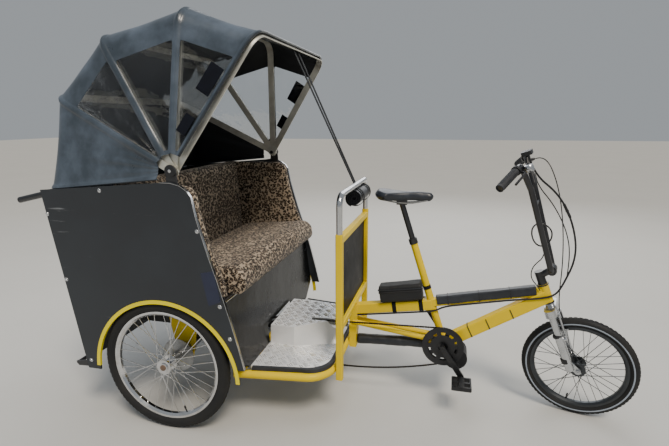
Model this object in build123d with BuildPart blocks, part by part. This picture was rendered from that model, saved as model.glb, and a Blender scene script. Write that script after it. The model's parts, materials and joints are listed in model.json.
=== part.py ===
"""Cycle rickshaw: a two-seat passenger cab on two rear wheels, with a single steered front wheel.

Millimetres. X runs forward from the rear axle, Y to the left, Z up from the ground. Every
piece is shifted at the end so that the origin is under the middle of the whole vehicle.
"""

import os
from math import cos, radians, sin, sqrt, tan

from build123d import *

os.makedirs("parts", exist_ok=True)

# Clearances
SEAT_GAP = 0.3          # between curved or flat faces of pieces that rest on each other
RUNNING_FIT = 0.05      # radial play of a shaft in its bore

# Rear wheels
REAR_RADIUS = 312.0
REAR_TYRE_WIDTH = 52.0
REAR_RIM_RADIUS = 261.0
REAR_SPOKES = 36
WHEEL_INSET = 35.0      # wheel's middle inside the side panel's outer face
REAR_HUB_RADIUS = 27.0
REAR_HUB_HALF = 33.0
AXLE_RADIUS = 10.0

# Front wheel
FRONT_RADIUS = 252.0
FRONT_TYRE_WIDTH = 46.0
FRONT_RIM_RADIUS = 210.0
FRONT_SPOKES = 36
FRONT_HUB_RADIUS = 25.0
FRONT_HUB_HALF = 42.0
FRONT_AXLE_RADIUS = 5.0
WHEELBASE = 1840.0

# Steering
RAKE = 21.3             # degrees from upright
FORK_OFFSET = 33.0
STEER_AT_REST = -14.0   # parked with the bars turned, as in the photograph
HEAD_BOTTOM = 339.0     # along the steering axis from the foot of the fork offset
HEAD_TOP = 436.0
HEAD_RADIUS = 23.0
STEERER_RADIUS = 14.3
FORK_HALF = 64.0
FORK_LEG_RADIUS = 16.0
CROWN_LOW = 292.0
CROWN_HEIGHT = 34.0
BRAKE_BOSS = 178.0      # height of the brake's bosses along the legs
STEM_TOP = 500.0
BAR_RADIUS = 13.0
BAR_BEND = 30.0
GRIP_RADIUS = 17.0
GRIP_LENGTH = 128.0
LEVER_PERCH = (38.0, 0.0, -16.0)    # brake lever's pivot from the bar's axis

# Floor
FLOOR_TUBE_RADIUS = 19.0
FLOOR_TUBE_Z = 250.0
FLOOR_REAR_X = 290.0
FLOOR_REAR_HALF = 449.0
FLOOR_FRONT_X = 715.0
FLOOR_FRONT_HALF = 402.0
FLOOR_CORNER = 105.0
FLOOR_PLATE = 4.0
FLOOR_INSET = 6.0       # from the tube's centre line to the plate's edge
EDGING_WIDTH = 16.0
EDGING_HEIGHT = 18.0
TUNNEL_HEIGHT = 96.0
TUNNEL_REAR_HALF = 190.0
TUNNEL_FRONT_HALF = 118.0
TUNNEL_SHEET = 3.0
CHAIN_SLOT_HALF = 96.0

# Bulkhead between passengers and rider
POST = 32.0
POST_HALF = 312.0
POST_BOTTOM = 208.0
POST_TOP = 906.0
CROSS_TUBE = 30.0
CROSS_LOW_Z = 465.0
CROSS_HIGH_Z = 877.0
BULKHEAD_SHEET = 8.0
RAIL_RADIUS = 14.0
RAIL_TOP = 1090.0
RAIL_BEND = 48.0
ROLL_RADIUS = 44.0

# Bicycle frame
BEAM_HEIGHT = 52.0
BEAM_WIDTH = 48.0
BEAM_REAR_Z = 440.0
TOP_TUBE_HEIGHT = 40.0
TOP_TUBE_WIDTH = 36.0
DOWN_TUBE_HEIGHT = 60.0
DOWN_TUBE_WIDTH = 48.0
SEAT_TUBE_RADIUS = 18.0
SEAT_TUBE_TOP = 802.0
SEAT_ANGLE = 18.0       # degrees back from upright
FRONT_CENTRE = 628.0    # from the crank's axis forward to the front axle
BRACKET_Z = 307.0
BRACKET_RADIUS = 24.0
BRACKET_HALF = 40.0
STAY_RADIUS = 13.0
STAY_HALF = 32.0
LOWER_TUBE_RADIUS = 13.0
PAD_THICKNESS = 6.0
BAG_LENGTH = 212.0
CENTRE_POST_DEPTH = 36.0
CENTRE_POST_WIDTH = 60.0
SEAT_POST_RADIUS = 14.0
SADDLE_Z = 1062.0
SADDLE_LENGTH = 276.0
SADDLE_WIDTH = 176.0

# Drive
CHAINRING_RADIUS = 88.0
CHAINRING_Y = -60.0
CHAINRING_THICKNESS = 4.0
CRANK_LENGTH = 170.0
CRANK_ANGLE = -56.0     # right arm, degrees from straight ahead
CRANK_PLANE = 88.0
SPROCKET_RADIUS = 34.0
CHAIN_WIDTH = 7.0
CHAIN_HEIGHT = 10.0
CHAIN_SAG_X = 640.0
CHAIN_SAG_Z = 137.0
MOTOR_RADIUS = 56.0
MOTOR_AHEAD = 64.0
MOTOR_BELOW = 70.0
PEDAL_PIN_RADIUS = 7.0
PEDAL_LENGTH = 96.0
PEDAL_WIDTH = 92.0
PEDAL_THICKNESS = 20.0

# Cab body
PANEL_OUT = 585.0       # outer face of the side panels
PANEL_SHEET = 9.0
ARCH_X = 14.0
ARCH_Z = 276.0
ARCH_RADIUS = 345.0
ARCH_TRIM = 15.0
PANEL_REAR_TOP = (-538.0, 1101.0)
PANEL_REAR_FOOT = (-397.0, 263.0)
PANEL_FRONT_FOOT = (398.0, 350.0)
KICK_TOP = (305.0, 645.0)
KICK_SHEET = 6.0
KICK_SLOPE = 0.130      # forward run of the kick panel per unit of drop
DECK_SHEET = 12.0
DECK_TOP = 657.0
DECK_REAR = -215.0
CUSHION_FRONT = 388.0
CUSHION_REAR = -92.0
CUSHION_INSET = 73.0    # end of the cushion inside the side panel's outer face
CUSHION_THICK_REAR = 82.0
CUSHION_THICK_FRONT = 122.0
BACK_THICKNESS = 96.0
BACK_TOP = 1150.0
BACK_LEAN = 22.0        # how far the top of the backrest stands behind its foot
SIDE_PAD = 44.0

# Chassis under the cab
RAIL_BOX = 34.0
RAIL_HALF = 392.0
AXLE_TUBE_RADIUS = 22.0
AXLE_PLATE = 8.0
BATTERY_X = (-390.0, -90.0)
BATTERY_DEPTH = 205.0
HANDLE_RADIUS = 14.0     # push handles behind the cab
HANDLE_INSET = 20.0      # their axis inside the side panel's inner face
HANDLE_RUN = 186.0
HANDLE_FALL = 42.0
HANDLE_STUB = 11.5       # radius of the stub in the cab that each is pushed over
HANDLE_OFF = 4.0         # from the rear panel's outer face to each handle's inner end

# Hood: hinge and bows
HINGE_X = 112.0
HINGE_Z = 1198.0
PIVOT_RADIUS = 6.0
BOW_WIDTH = 36.0
BOW_STRIP = 4.0
BOW_PITCH = 7.0         # from one bow's arm to the next at the pivot
BOW_INSET = 24.0        # outermost arm at the pivot inside the side panel's outer face
BOW_CORNER = 80.0
BOW_STRAIGHT = 40.0     # length of arm that stands square to the pivot
CLOTH = 2.5
CLOTH_STAND_OFF = 9.6   # cloth outside the strip's middle, so that it clears the strip's edges
CLOTH_START = 70.0
STRAP_WIDTH = 25.0
PIVOT_LENGTH = 31.0     # outermost arm to the inner end of the hinge pins
WINDOW_MARGIN = 24.0     # from a bow's middle to the window beside it
WINDOW_REACH = 516.0
WINDOW_START = 160.0
WINDOWS = (2, 3, 4)      # bays of the hood with a clear pane in each side
# bow number: degrees above straight ahead, reach from the hinge, how far its sides lean in
HOOD = {
    0: (188.6, 640.0, -1.0),
    1: (153.0, 664.0, 69.0),
    2: (122.5, 644.0, 79.0),
    3: (87.0, 632.0, 81.0),
    4: (56.8, 634.0, 87.0),
}

# Cables
CABLE_RADIUS = 2.5
BUNDLE_RADIUS = 4.5
ROUND_OFF = 0.45        # share of the shorter run that a cable's bend takes up
SPARE_LOOP = 52.0
DISPLAY_PLACE = (118.0, -44.0, 1040.0)   # foot of the display: forward, to the left, along

# Sizes that follow from the ones above
TRACK_HALF = PANEL_OUT - WHEEL_INSET
BRACKET_X = WHEELBASE - FRONT_CENTRE
BOW_FOOT_HALF = PANEL_OUT - BOW_INSET
PIVOT_TIP = BOW_FOOT_HALF - PIVOT_LENGTH
CUSHION_HALF = PANEL_OUT - CUSHION_INSET
PANEL_IN = PANEL_OUT - PANEL_SHEET
REAR_HUB_Z = REAR_RADIUS


def across(half, x=0.0, z=0.0):
    """The vertical plane at Y = -half, looking so that its axes are X and Z."""
    return Plane(origin=(x, -half, z), x_dir=(1, 0, 0), z_dir=(0, -1, 0))


def bar(start, end, radius, bore=0.0, mode=Mode.ADD):
    """A round bar or tube from one point to another."""
    axis = Vector(*end) - Vector(*start)
    with BuildSketch(Plane(origin=start, z_dir=axis)) as section:
        Circle(radius)
        if bore:
            Circle(bore, mode=Mode.SUBTRACT)
    extrude(section.sketch, amount=axis.length, mode=mode)


def box_tube(start, end, width, height, round_off=5.0, mode=Mode.ADD):
    """A rectangular tube, its width along Y, or along X where it runs along Y itself."""
    axis = Vector(*end) - Vector(*start)
    flat = (1, 0, 0) if abs(axis.normalized().Y) > 0.9 else (0, 1, 0)
    with BuildSketch(Plane(origin=start, x_dir=flat, z_dir=axis)) as section:
        RectangleRounded(width, height, round_off)
    extrude(section.sketch, amount=axis.length, mode=mode)


def block(x, y, z, mode=Mode.ADD):
    """A box from its low and high coordinates along each axis."""
    with Locations(((x[0] + x[1]) / 2, (y[0] + y[1]) / 2, (z[0] + z[1]) / 2)):
        Box(x[1] - x[0], y[1] - y[0], z[1] - z[0], mode=mode)


# Steering axis: its foot, its direction, and the plane whose Z is that axis and X points forward
rake_sin = sin(radians(RAKE))
rake_cos = cos(radians(RAKE))
steer_sin = sin(radians(STEER_AT_REST))
steer_cos = cos(radians(STEER_AT_REST))
# how far the wheel's plane leans over when the bars are turned, from the turned axle's height
axle_rise = -rake_sin * steer_sin
tyre_section = FRONT_TYRE_WIDTH / 2
tyre_drop = (FRONT_RADIUS - tyre_section) * sqrt(1 - axle_rise**2) + tyre_section
# turning about a raked axis moves the hub down or up by this much
hub_shift = FORK_OFFSET * rake_sin * (steer_cos - 1)
FRONT_HUB_Z = tyre_drop - hub_shift
steer_foot = (
    WHEELBASE - FORK_OFFSET * rake_cos,
    0,
    FRONT_HUB_Z - FORK_OFFSET * rake_sin,
)
steer_plane = Plane(
    origin=steer_foot, x_dir=(rake_cos, 0, rake_sin), z_dir=(-rake_sin, 0, rake_cos)
)
steered = (
    steer_plane.location
    * Location((0, 0, 0), (0, 0, STEER_AT_REST))
    * steer_plane.location.inverse()
)


def on_steering(forward, side, along):
    """A point given from the steering axis, with the bars straight."""
    return steer_plane.from_local_coords((forward, side, along))


# Bicycle frame
seat_dir = (-sin(radians(SEAT_ANGLE)), 0, cos(radians(SEAT_ANGLE)))


def on_seat_tube(z):
    """The point of the seat tube's axis at a height."""
    along = (z - BRACKET_Z) / seat_dir[2]
    return (BRACKET_X + seat_dir[0] * along, 0, z)


POST_X = FLOOR_FRONT_X + FLOOR_TUBE_RADIUS + SEAT_GAP + POST / 2
beam_start = (POST_X + CROSS_TUBE / 2 + SEAT_GAP + 4, 0, BEAM_REAR_Z)
beam_end = on_seat_tube(BEAM_REAR_Z + 58.0)
top_tube_start = on_seat_tube(beam_end[2] + 9.0)
head_mid = on_steering(0, 0, HEAD_TOP - 36.0)
head_low = on_steering(0, 0, HEAD_BOTTOM + 36.0)
down_tube_start = (BRACKET_X + 22, 0, BRACKET_Z + 6)
# gusset corners: forward of the steering axis, along it
GUSSET = (
    (-8, HEAD_TOP - 8),
    (-112, HEAD_TOP - 60),
    (-90, HEAD_BOTTOM + 10),
    (-8, HEAD_BOTTOM + 4),
)
centre_post_x = FLOOR_FRONT_X + FLOOR_TUBE_RADIUS + SEAT_GAP
lower_start = (centre_post_x + 8, 0, 268)
lower_end = (BRACKET_X - 6, 0, 290)
with BuildPart() as main_frame:
    box_tube(beam_start, beam_end, BEAM_WIDTH, BEAM_HEIGHT)
    box_tube(top_tube_start, tuple(head_mid), TOP_TUBE_WIDTH, TOP_TUBE_HEIGHT)
    box_tube(down_tube_start, tuple(head_low), DOWN_TUBE_WIDTH, DOWN_TUBE_HEIGHT)
    bar(tuple(on_steering(0, 0, HEAD_BOTTOM)), tuple(on_steering(0, 0, HEAD_TOP)), HEAD_RADIUS)
    bar((BRACKET_X, 0, BRACKET_Z), on_seat_tube(SEAT_TUBE_TOP), SEAT_TUBE_RADIUS)
    bar((BRACKET_X, -BRACKET_HALF, BRACKET_Z), (BRACKET_X, BRACKET_HALF, BRACKET_Z), BRACKET_RADIUS)
    # gusset between the head tube, top tube and down tube
    with BuildSketch(Plane.XZ) as gusset:
        with BuildLine():
            Polyline(
                *(
                    (on_steering(forward, 0, along).X, on_steering(forward, 0, along).Z)
                    for forward, along in GUSSET
                ),
                close=True,
            )
        make_face()
    extrude(gusset.sketch, amount=4, both=True)
    for side in (-1, 1):
        bar(
            (centre_post_x + CENTRE_POST_DEPTH / 2, side * (STAY_HALF - 8), 372),
            (BRACKET_X - 12, side * STAY_HALF, BRACKET_Z + 10),
            STAY_RADIUS,
        )
    bar(lower_start, lower_end, LOWER_TUBE_RADIUS)
    block(
        (centre_post_x, centre_post_x + CENTRE_POST_DEPTH),
        (-CENTRE_POST_WIDTH / 2, CENTRE_POST_WIDTH / 2),
        (FLOOR_TUBE_Z - FLOOR_TUBE_RADIUS, CROSS_LOW_Z - CROSS_TUBE / 2 - SEAT_GAP),
    )
    # face plate against the lower cross tube
    plate_x = POST_X + CROSS_TUBE / 2 + SEAT_GAP
    block(
        (plate_x, plate_x + 8),
        (-CENTRE_POST_WIDTH / 2, CENTRE_POST_WIDTH / 2),
        (FLOOR_TUBE_Z + 60, CROSS_LOW_Z + CROSS_TUBE / 2),
    )
    # bores for the steerer, the crank spindle and the seat post
    bar(
        tuple(on_steering(0, 0, HEAD_BOTTOM - 40)),
        tuple(on_steering(0, 0, HEAD_TOP + 40)),
        STEERER_RADIUS + RUNNING_FIT,
        mode=Mode.SUBTRACT,
    )
    bar(
        (BRACKET_X, -BRACKET_HALF - 5, BRACKET_Z),
        (BRACKET_X, BRACKET_HALF + 5, BRACKET_Z),
        8 + RUNNING_FIT,
        mode=Mode.SUBTRACT,
    )
    bar(on_seat_tube(640), on_seat_tube(SEAT_TUBE_TOP + 20), SEAT_POST_RADIUS, mode=Mode.SUBTRACT)

with BuildPart() as seat_post:
    bar(on_seat_tube(640), on_seat_tube(SADDLE_Z - 58), SEAT_POST_RADIUS)
    bar(on_seat_tube(SEAT_TUBE_TOP + 1), on_seat_tube(SEAT_TUBE_TOP + 26), SEAT_TUBE_RADIUS + 3)
    head = on_seat_tube(SADDLE_Z - 62)
    block((head[0] - 24, head[0] + 26), (-21, 21), (SADDLE_Z - 66, SADDLE_Z - 44))

saddle_mid = on_seat_tube(SADDLE_Z)[0] + 32.0


def saddle_outline(z, trim):
    """The saddle's plan at one height, drawn in by trim."""
    half_length = SADDLE_LENGTH / 2 - trim
    half_width = SADDLE_WIDTH / 2 - trim
    tail = (saddle_mid - half_length, 0)
    wing = (saddle_mid - half_length + 52, half_width)
    waist = (saddle_mid + 22, 29 - trim / 2)
    nose_side = (saddle_mid + half_length - 24, 20 - trim / 2)
    nose = (saddle_mid + half_length, 0)
    with BuildSketch(Plane.XY.offset(z)) as outline:
        with BuildLine():
            ThreePointArc(tail, (tail[0] + 11, half_width * 0.68), wing)
            ThreePointArc(wing, (saddle_mid - 36, half_width * 0.62), waist)
            Line(waist, nose_side)
            ThreePointArc(nose_side, (nose[0] - 7, 14 - trim / 2), nose)
            Line(nose, tail)
        make_face()
        mirror(about=Plane.XZ)
    return outline.sketch


with BuildPart() as saddle:
    loft(
        [
            saddle_outline(SADDLE_Z - drop, trim)
            for drop, trim in ((44, 16), (28, 2), (14, 0), (0, 12))
        ],
        ruled=True,
    )

# Crankset, motor and chain
with BuildPart() as motor:
    motor_x = BRACKET_X + MOTOR_AHEAD
    motor_z = BRACKET_Z - MOTOR_BELOW
    bar((motor_x, -44, motor_z), (motor_x, 62, motor_z), MOTOR_RADIUS)
    with BuildSketch(Plane.XZ) as neck:
        with BuildLine():
            Polyline(
                (BRACKET_X + 18, BRACKET_Z - 26),
                (BRACKET_X + 34, BRACKET_Z - 10),
                (motor_x + 40, motor_z + 30),
                (motor_x - 40, motor_z - 30),
                close=True,
            )
        make_face()
    extrude(neck.sketch, amount=26, both=True)
    bar(
        (BRACKET_X, -BRACKET_HALF - 5, BRACKET_Z),
        (BRACKET_X, BRACKET_HALF + 5, BRACKET_Z),
        BRACKET_RADIUS + SEAT_GAP,
        mode=Mode.SUBTRACT,
    )
    box_tube(
        down_tube_start,
        tuple(head_low),
        DOWN_TUBE_WIDTH + 2 * SEAT_GAP,
        DOWN_TUBE_HEIGHT + 2 * SEAT_GAP,
        mode=Mode.SUBTRACT,
    )

with BuildPart() as crankset:
    bar((BRACKET_X, -CRANK_PLANE, BRACKET_Z), (BRACKET_X, CRANK_PLANE, BRACKET_Z), 8)
    with BuildSketch(across(-CHAINRING_Y + CHAINRING_THICKNESS / 2, BRACKET_X, BRACKET_Z)) as ring:
        Circle(CHAINRING_RADIUS)
        Circle(CHAINRING_RADIUS - 18, mode=Mode.SUBTRACT)
        with PolarLocations(0, 5):
            with Locations((45, 0)):
                Rectangle(64, 22)
        Circle(24)
        Circle(7.5, mode=Mode.SUBTRACT)
    extrude(ring.sketch, amount=-CHAINRING_THICKNESS)
    for side, turn in ((-1, 0.0), (1, 180.0)):
        angle = radians(CRANK_ANGLE + turn)
        eye = (
            BRACKET_X + CRANK_LENGTH * cos(angle),
            BRACKET_Z + CRANK_LENGTH * sin(angle),
        )
        with BuildSketch(across(-side * CRANK_PLANE + 7)) as arm:
            with Locations(((BRACKET_X + eye[0]) / 2, (BRACKET_Z + eye[1]) / 2)):
                SlotCenterToCenter(CRANK_LENGTH, 26, rotation=CRANK_ANGLE + turn)
            with Locations(eye):
                Circle(PEDAL_PIN_RADIUS + RUNNING_FIT, mode=Mode.SUBTRACT)
        extrude(arm.sketch, amount=-14)


def pedal(side):
    """A platform pedal on the crank at one side, level with the ground."""
    angle = radians(CRANK_ANGLE + (0 if side < 0 else 180))
    x = BRACKET_X + CRANK_LENGTH * cos(angle)
    z = BRACKET_Z + CRANK_LENGTH * sin(angle)
    inner = CRANK_PLANE + 7 + SEAT_GAP
    with BuildPart() as piece:
        bar((x, side * (CRANK_PLANE - 7), z), (x, side * (inner + PEDAL_LENGTH + 12), z), PEDAL_PIN_RADIUS)
        with BuildSketch(Plane((x, side * (inner + 10), z), x_dir=(1, 0, 0), z_dir=(0, side, 0))) as frame:
            RectangleRounded(PEDAL_WIDTH, PEDAL_THICKNESS, 5)
        extrude(frame.sketch, amount=PEDAL_LENGTH)
        with BuildSketch(Plane.XY.offset(z - PEDAL_THICKNESS)) as windows:
            with Locations((x, side * (inner + 10 + PEDAL_LENGTH / 2))):
                with GridLocations(52, 44, 2, 2):
                    Rectangle(26, 32)
        extrude(windows.sketch, amount=2 * PEDAL_THICKNESS, mode=Mode.SUBTRACT)
    return piece


pedal_right = pedal(-1)
pedal_left = pedal(1)

sprocket_z = REAR_HUB_Z
chain_r = CHAINRING_RADIUS + SEAT_GAP + CHAIN_HEIGHT / 2
with BuildPart() as drive_chain:
    with BuildSketch(across(-CHAINRING_Y + CHAIN_WIDTH / 2)) as loop:
        with BuildLine() as outer:
            top_front = (BRACKET_X, BRACKET_Z + chain_r + CHAIN_HEIGHT / 2)
            low_front = (BRACKET_X, BRACKET_Z - chain_r - CHAIN_HEIGHT / 2)
            top_rear = (0, sprocket_z + SPROCKET_RADIUS + CHAIN_HEIGHT)
            low_rear = (0, sprocket_z - SPROCKET_RADIUS - CHAIN_HEIGHT)
            Line(top_rear, top_front)
            ThreePointArc(top_front, (BRACKET_X + chain_r + CHAIN_HEIGHT / 2, BRACKET_Z), low_front)
            ThreePointArc(low_front, (CHAIN_SAG_X, CHAIN_SAG_Z - CHAIN_HEIGHT / 2), low_rear)
            ThreePointArc(low_rear, (-SPROCKET_RADIUS - CHAIN_HEIGHT, sprocket_z), top_rear)
        make_face()
        with BuildLine(mode=Mode.PRIVATE) as inner:
            top_front = (BRACKET_X, BRACKET_Z + chain_r - CHAIN_HEIGHT / 2)
            low_front = (BRACKET_X, BRACKET_Z - chain_r + CHAIN_HEIGHT / 2)
            top_rear = (0, sprocket_z + SPROCKET_RADIUS)
            low_rear = (0, sprocket_z - SPROCKET_RADIUS)
            Line(top_rear, top_front)
            ThreePointArc(top_front, (BRACKET_X + chain_r - CHAIN_HEIGHT / 2, BRACKET_Z), low_front)
            ThreePointArc(low_front, (CHAIN_SAG_X, CHAIN_SAG_Z + CHAIN_HEIGHT / 2), low_rear)
            ThreePointArc(low_rear, (-SPROCKET_RADIUS, sprocket_z), top_rear)
        make_face(inner.edges(), mode=Mode.SUBTRACT)
    extrude(loop.sketch, amount=-CHAIN_WIDTH)

# Floor frame, plates and tunnel


def floor_path(inset=0.0):
    """Half of the floor's outline, from its rear end round the front corner, moved inwards."""
    return (
        (FLOOR_REAR_X, -FLOOR_REAR_HALF + inset),
        (FLOOR_FRONT_X - FLOOR_CORNER - 12, -FLOOR_FRONT_HALF + inset),
        (FLOOR_FRONT_X - inset, -FLOOR_FRONT_HALF + inset + FLOOR_CORNER),
        (FLOOR_FRONT_X - inset, 0),
    )


def floor_outline(z, inset):
    """The whole floor as a face at one height, moved inwards from the tube's centre line."""
    rear, corner_rear, corner_front, front = floor_path(inset)
    mid = (
        FLOOR_FRONT_X - FLOOR_CORNER * 0.32 - inset,
        -FLOOR_FRONT_HALF + inset + FLOOR_CORNER * 0.30,
    )
    with BuildSketch(Plane.XY.offset(z)) as outline:
        with BuildLine():
            Line((rear[0], 0), rear)
            Line(rear, corner_rear)
            ThreePointArc(corner_rear, mid, corner_front)
            Line(corner_front, front)
            Line(front, (rear[0], 0))
        make_face()
        mirror(about=Plane.XZ)
    return outline.sketch


with BuildPart() as floor_frame:
    with BuildLine(Plane.XY.offset(FLOOR_TUBE_Z)) as tube_path:
        FilletPolyline(
            (FLOOR_REAR_X - 8, -FLOOR_REAR_HALF),
            (FLOOR_FRONT_X - 60, -FLOOR_FRONT_HALF),
            (FLOOR_FRONT_X, -FLOOR_FRONT_HALF + 75),
            (FLOOR_FRONT_X, FLOOR_FRONT_HALF - 75),
            (FLOOR_FRONT_X - 60, FLOOR_FRONT_HALF),
            (FLOOR_REAR_X - 8, FLOOR_REAR_HALF),
            radius=FLOOR_CORNER,
        )
    with BuildSketch(Plane(origin=tube_path.line @ 0, z_dir=tube_path.line % 0)) as section:
        Circle(FLOOR_TUBE_RADIUS)
    sweep(section.sketch, path=tube_path.line)
    bar(
        (FLOOR_REAR_X + 10, -FLOOR_REAR_HALF, FLOOR_TUBE_Z),
        (FLOOR_REAR_X + 10, FLOOR_REAR_HALF, FLOOR_TUBE_Z),
        FLOOR_TUBE_RADIUS - 3,
    )
    for y in (-230, 230):
        bar((FLOOR_REAR_X + 10, y, FLOOR_TUBE_Z), (FLOOR_FRONT_X, y, FLOOR_TUBE_Z), 14)

plate_low = FLOOR_TUBE_Z + FLOOR_TUBE_RADIUS + SEAT_GAP
plate_z = plate_low + EDGING_HEIGHT - FLOOR_PLATE - 2
kick_foot_x = KICK_TOP[0] + KICK_SLOPE * (KICK_TOP[1] - plate_z)
floor_side = (-FLOOR_REAR_HALF - 50, FLOOR_REAR_HALF + 50)
with BuildPart() as floor_edging:
    extrude(floor_outline(plate_low, -2.0), amount=EDGING_HEIGHT)
    extrude(floor_outline(plate_low, EDGING_WIDTH - 2.0), amount=EDGING_HEIGHT, mode=Mode.SUBTRACT)
    block((FLOOR_REAR_X - 5, kick_foot_x + 12), floor_side, (plate_low - 5, plate_low + 40), Mode.SUBTRACT)

plate_edge = EDGING_WIDTH - 2.0 + SEAT_GAP
with BuildPart() as floor_plates:
    extrude(floor_outline(plate_low, plate_edge), amount=plate_z + FLOOR_PLATE - plate_low)
    # hollow under the plate, inside the folded lip that stands on the tube
    extrude(
        floor_outline(plate_low, EDGING_WIDTH + 4.0),
        amount=plate_z - plate_low,
        mode=Mode.SUBTRACT,
    )
    block(
        (FLOOR_REAR_X - 5, FLOOR_FRONT_X + 5),
        (-CHAIN_SLOT_HALF, CHAIN_SLOT_HALF),
        (plate_low - 5, plate_z + 20),
        Mode.SUBTRACT,
    )
    block((FLOOR_REAR_X - 5, kick_foot_x + 2), floor_side, (plate_low - 5, plate_z + 20), Mode.SUBTRACT)

tunnel_foot = plate_z + FLOOR_PLATE + SEAT_GAP
hip_x = FLOOR_FRONT_X - 230.0
tunnel_x = (kick_foot_x + 8, hip_x, FLOOR_FRONT_X - EDGING_WIDTH)


def tunnel_section(x, foot, top, height):
    """One cross section of the raised tunnel in the floor."""
    with BuildSketch(Plane(origin=(x, 0, tunnel_foot), x_dir=(0, 1, 0), z_dir=(1, 0, 0))) as section:
        with BuildLine():
            Polyline((-foot, 0), (foot, 0), (top, height), (-top, height), close=True)
        make_face()
    return section.sketch


def tunnel_shape(trim, mode=Mode.ADD):
    """The tunnel as two straight-sided lofts, drawn in from its outer faces by trim."""
    rear_x, middle_x, front_x = tunnel_x
    rear = (TUNNEL_REAR_HALF - trim, TUNNEL_REAR_HALF - 8 - trim, TUNNEL_HEIGHT - trim)
    front = (TUNNEL_FRONT_HALF - trim, 22 - trim / 2, TUNNEL_HEIGHT + 4 - trim)
    loft([tunnel_section(rear_x - trim, *rear), tunnel_section(middle_x, *rear)], ruled=True, mode=mode)
    loft([tunnel_section(middle_x, *rear), tunnel_section(front_x + trim, *front)], ruled=True, mode=mode)


with BuildPart() as floor_tunnel:
    tunnel_shape(0.0)
    tunnel_shape(TUNNEL_SHEET, Mode.SUBTRACT)
    # slot that lets the chain's upper run out through the tunnel's falling front
    block(
        (hip_x + 55, FLOOR_FRONT_X + 10),
        (CHAINRING_Y - 16, CHAINRING_Y + 16),
        (tunnel_foot + 20, tunnel_foot + TUNNEL_HEIGHT + 40),
        Mode.SUBTRACT,
    )

# Bulkhead
with BuildPart() as bulkhead_frame:
    for side in (-1, 1):
        y = side * POST_HALF
        box_tube((POST_X, y, POST_BOTTOM), (POST_X, y, POST_TOP), POST, POST, 6.0)
    for z in (CROSS_LOW_Z, CROSS_HIGH_Z):
        box_tube((POST_X, -POST_HALF, z), (POST_X, POST_HALF, z), CROSS_TUBE, CROSS_TUBE)

with BuildPart() as bulkhead_panel:
    block(
        (POST_X - BULKHEAD_SHEET - 4, POST_X - 4),
        (-POST_HALF + POST / 2 + SEAT_GAP, POST_HALF - POST / 2 - SEAT_GAP),
        (CROSS_LOW_Z + CROSS_TUBE / 2 + SEAT_GAP, CROSS_HIGH_Z - CROSS_TUBE / 2 - SEAT_GAP),
    )

rail_z = RAIL_TOP - RAIL_RADIUS
with BuildPart() as grab_rail:
    with BuildLine() as rail_path:
        FilletPolyline(
            (POST_X, -POST_HALF, POST_TOP),
            (POST_X, -POST_HALF, rail_z),
            (POST_X, POST_HALF, rail_z),
            (POST_X, POST_HALF, POST_TOP),
            radius=RAIL_BEND,
        )
    with BuildSketch(Plane(origin=rail_path.line @ 0, z_dir=rail_path.line % 0)) as section:
        Circle(RAIL_RADIUS)
    sweep(section.sketch, path=rail_path.line)

roll_z = rail_z - RAIL_RADIUS - ROLL_RADIUS - SEAT_GAP
with BuildPart() as apron_roll:
    bar((POST_X, -15, roll_z), (POST_X, POST_HALF - RAIL_BEND - 6, roll_z), ROLL_RADIUS)

# Pads and bag on the bicycle frame
top_tube_dir = (Vector(*head_mid) - Vector(*top_tube_start)).normalized()


def on_top_tube(along, up=0.0):
    """A point along the top tube's axis from the seat tube, moved square to it."""
    start = Vector(*top_tube_start) + top_tube_dir * along
    return (start.X - top_tube_dir.Z * up, 0, start.Z + top_tube_dir.X * up)


with BuildPart() as top_tube_pad:
    box_tube(on_top_tube(26, 8), on_top_tube(452, 8), TOP_TUBE_WIDTH + 2 * PAD_THICKNESS, 46, 9.0)
    box_tube(
        on_top_tube(20, 0),
        on_top_tube(460, 0),
        TOP_TUBE_WIDTH + 2 * SEAT_GAP,
        TOP_TUBE_HEIGHT + 2 * SEAT_GAP,
        mode=Mode.SUBTRACT,
    )

with BuildPart() as lower_tube_pad:
    low_dir = (Vector(*lower_end) - Vector(*lower_start)).normalized()
    pad_start = tuple(Vector(*lower_start) + low_dir * 34)
    pad_end = tuple(Vector(*lower_end) - low_dir * 73)
    bar(pad_start, pad_end, LOWER_TUBE_RADIUS + PAD_THICKNESS + 1, LOWER_TUBE_RADIUS + SEAT_GAP)

beam_dir = (Vector(*beam_end) - Vector(*beam_start)).normalized()


def on_beam(along, up):
    """A point over the beam's axis, from the bulkhead."""
    start = Vector(*beam_start) + beam_dir * along
    return (start.X - beam_dir.Z * up, 0, start.Z + beam_dir.X * up)


# the bag lies on the beam, its front against the seat tube
beam_length = (Vector(*beam_end) - Vector(*beam_start)).length
bag_front = beam_length - SEAT_TUBE_RADIUS - 39
with BuildPart() as frame_bag:
    bag_low = BEAM_HEIGHT / 2 + SEAT_GAP
    bag_rear = bag_front - BAG_LENGTH
    box_tube(on_beam(bag_rear, bag_low + 48), on_beam(bag_front, bag_low + 52), 92, 88, 18.0)
    box_tube(
        on_beam(bag_rear - 18, bag_low - 30),
        on_beam(bag_front + 20, bag_low - 30),
        100,
        60.0,
        1.0,
        Mode.SUBTRACT,
    )

# Cab body: side panels, trims, rear panel, kick panel, seat deck

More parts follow.
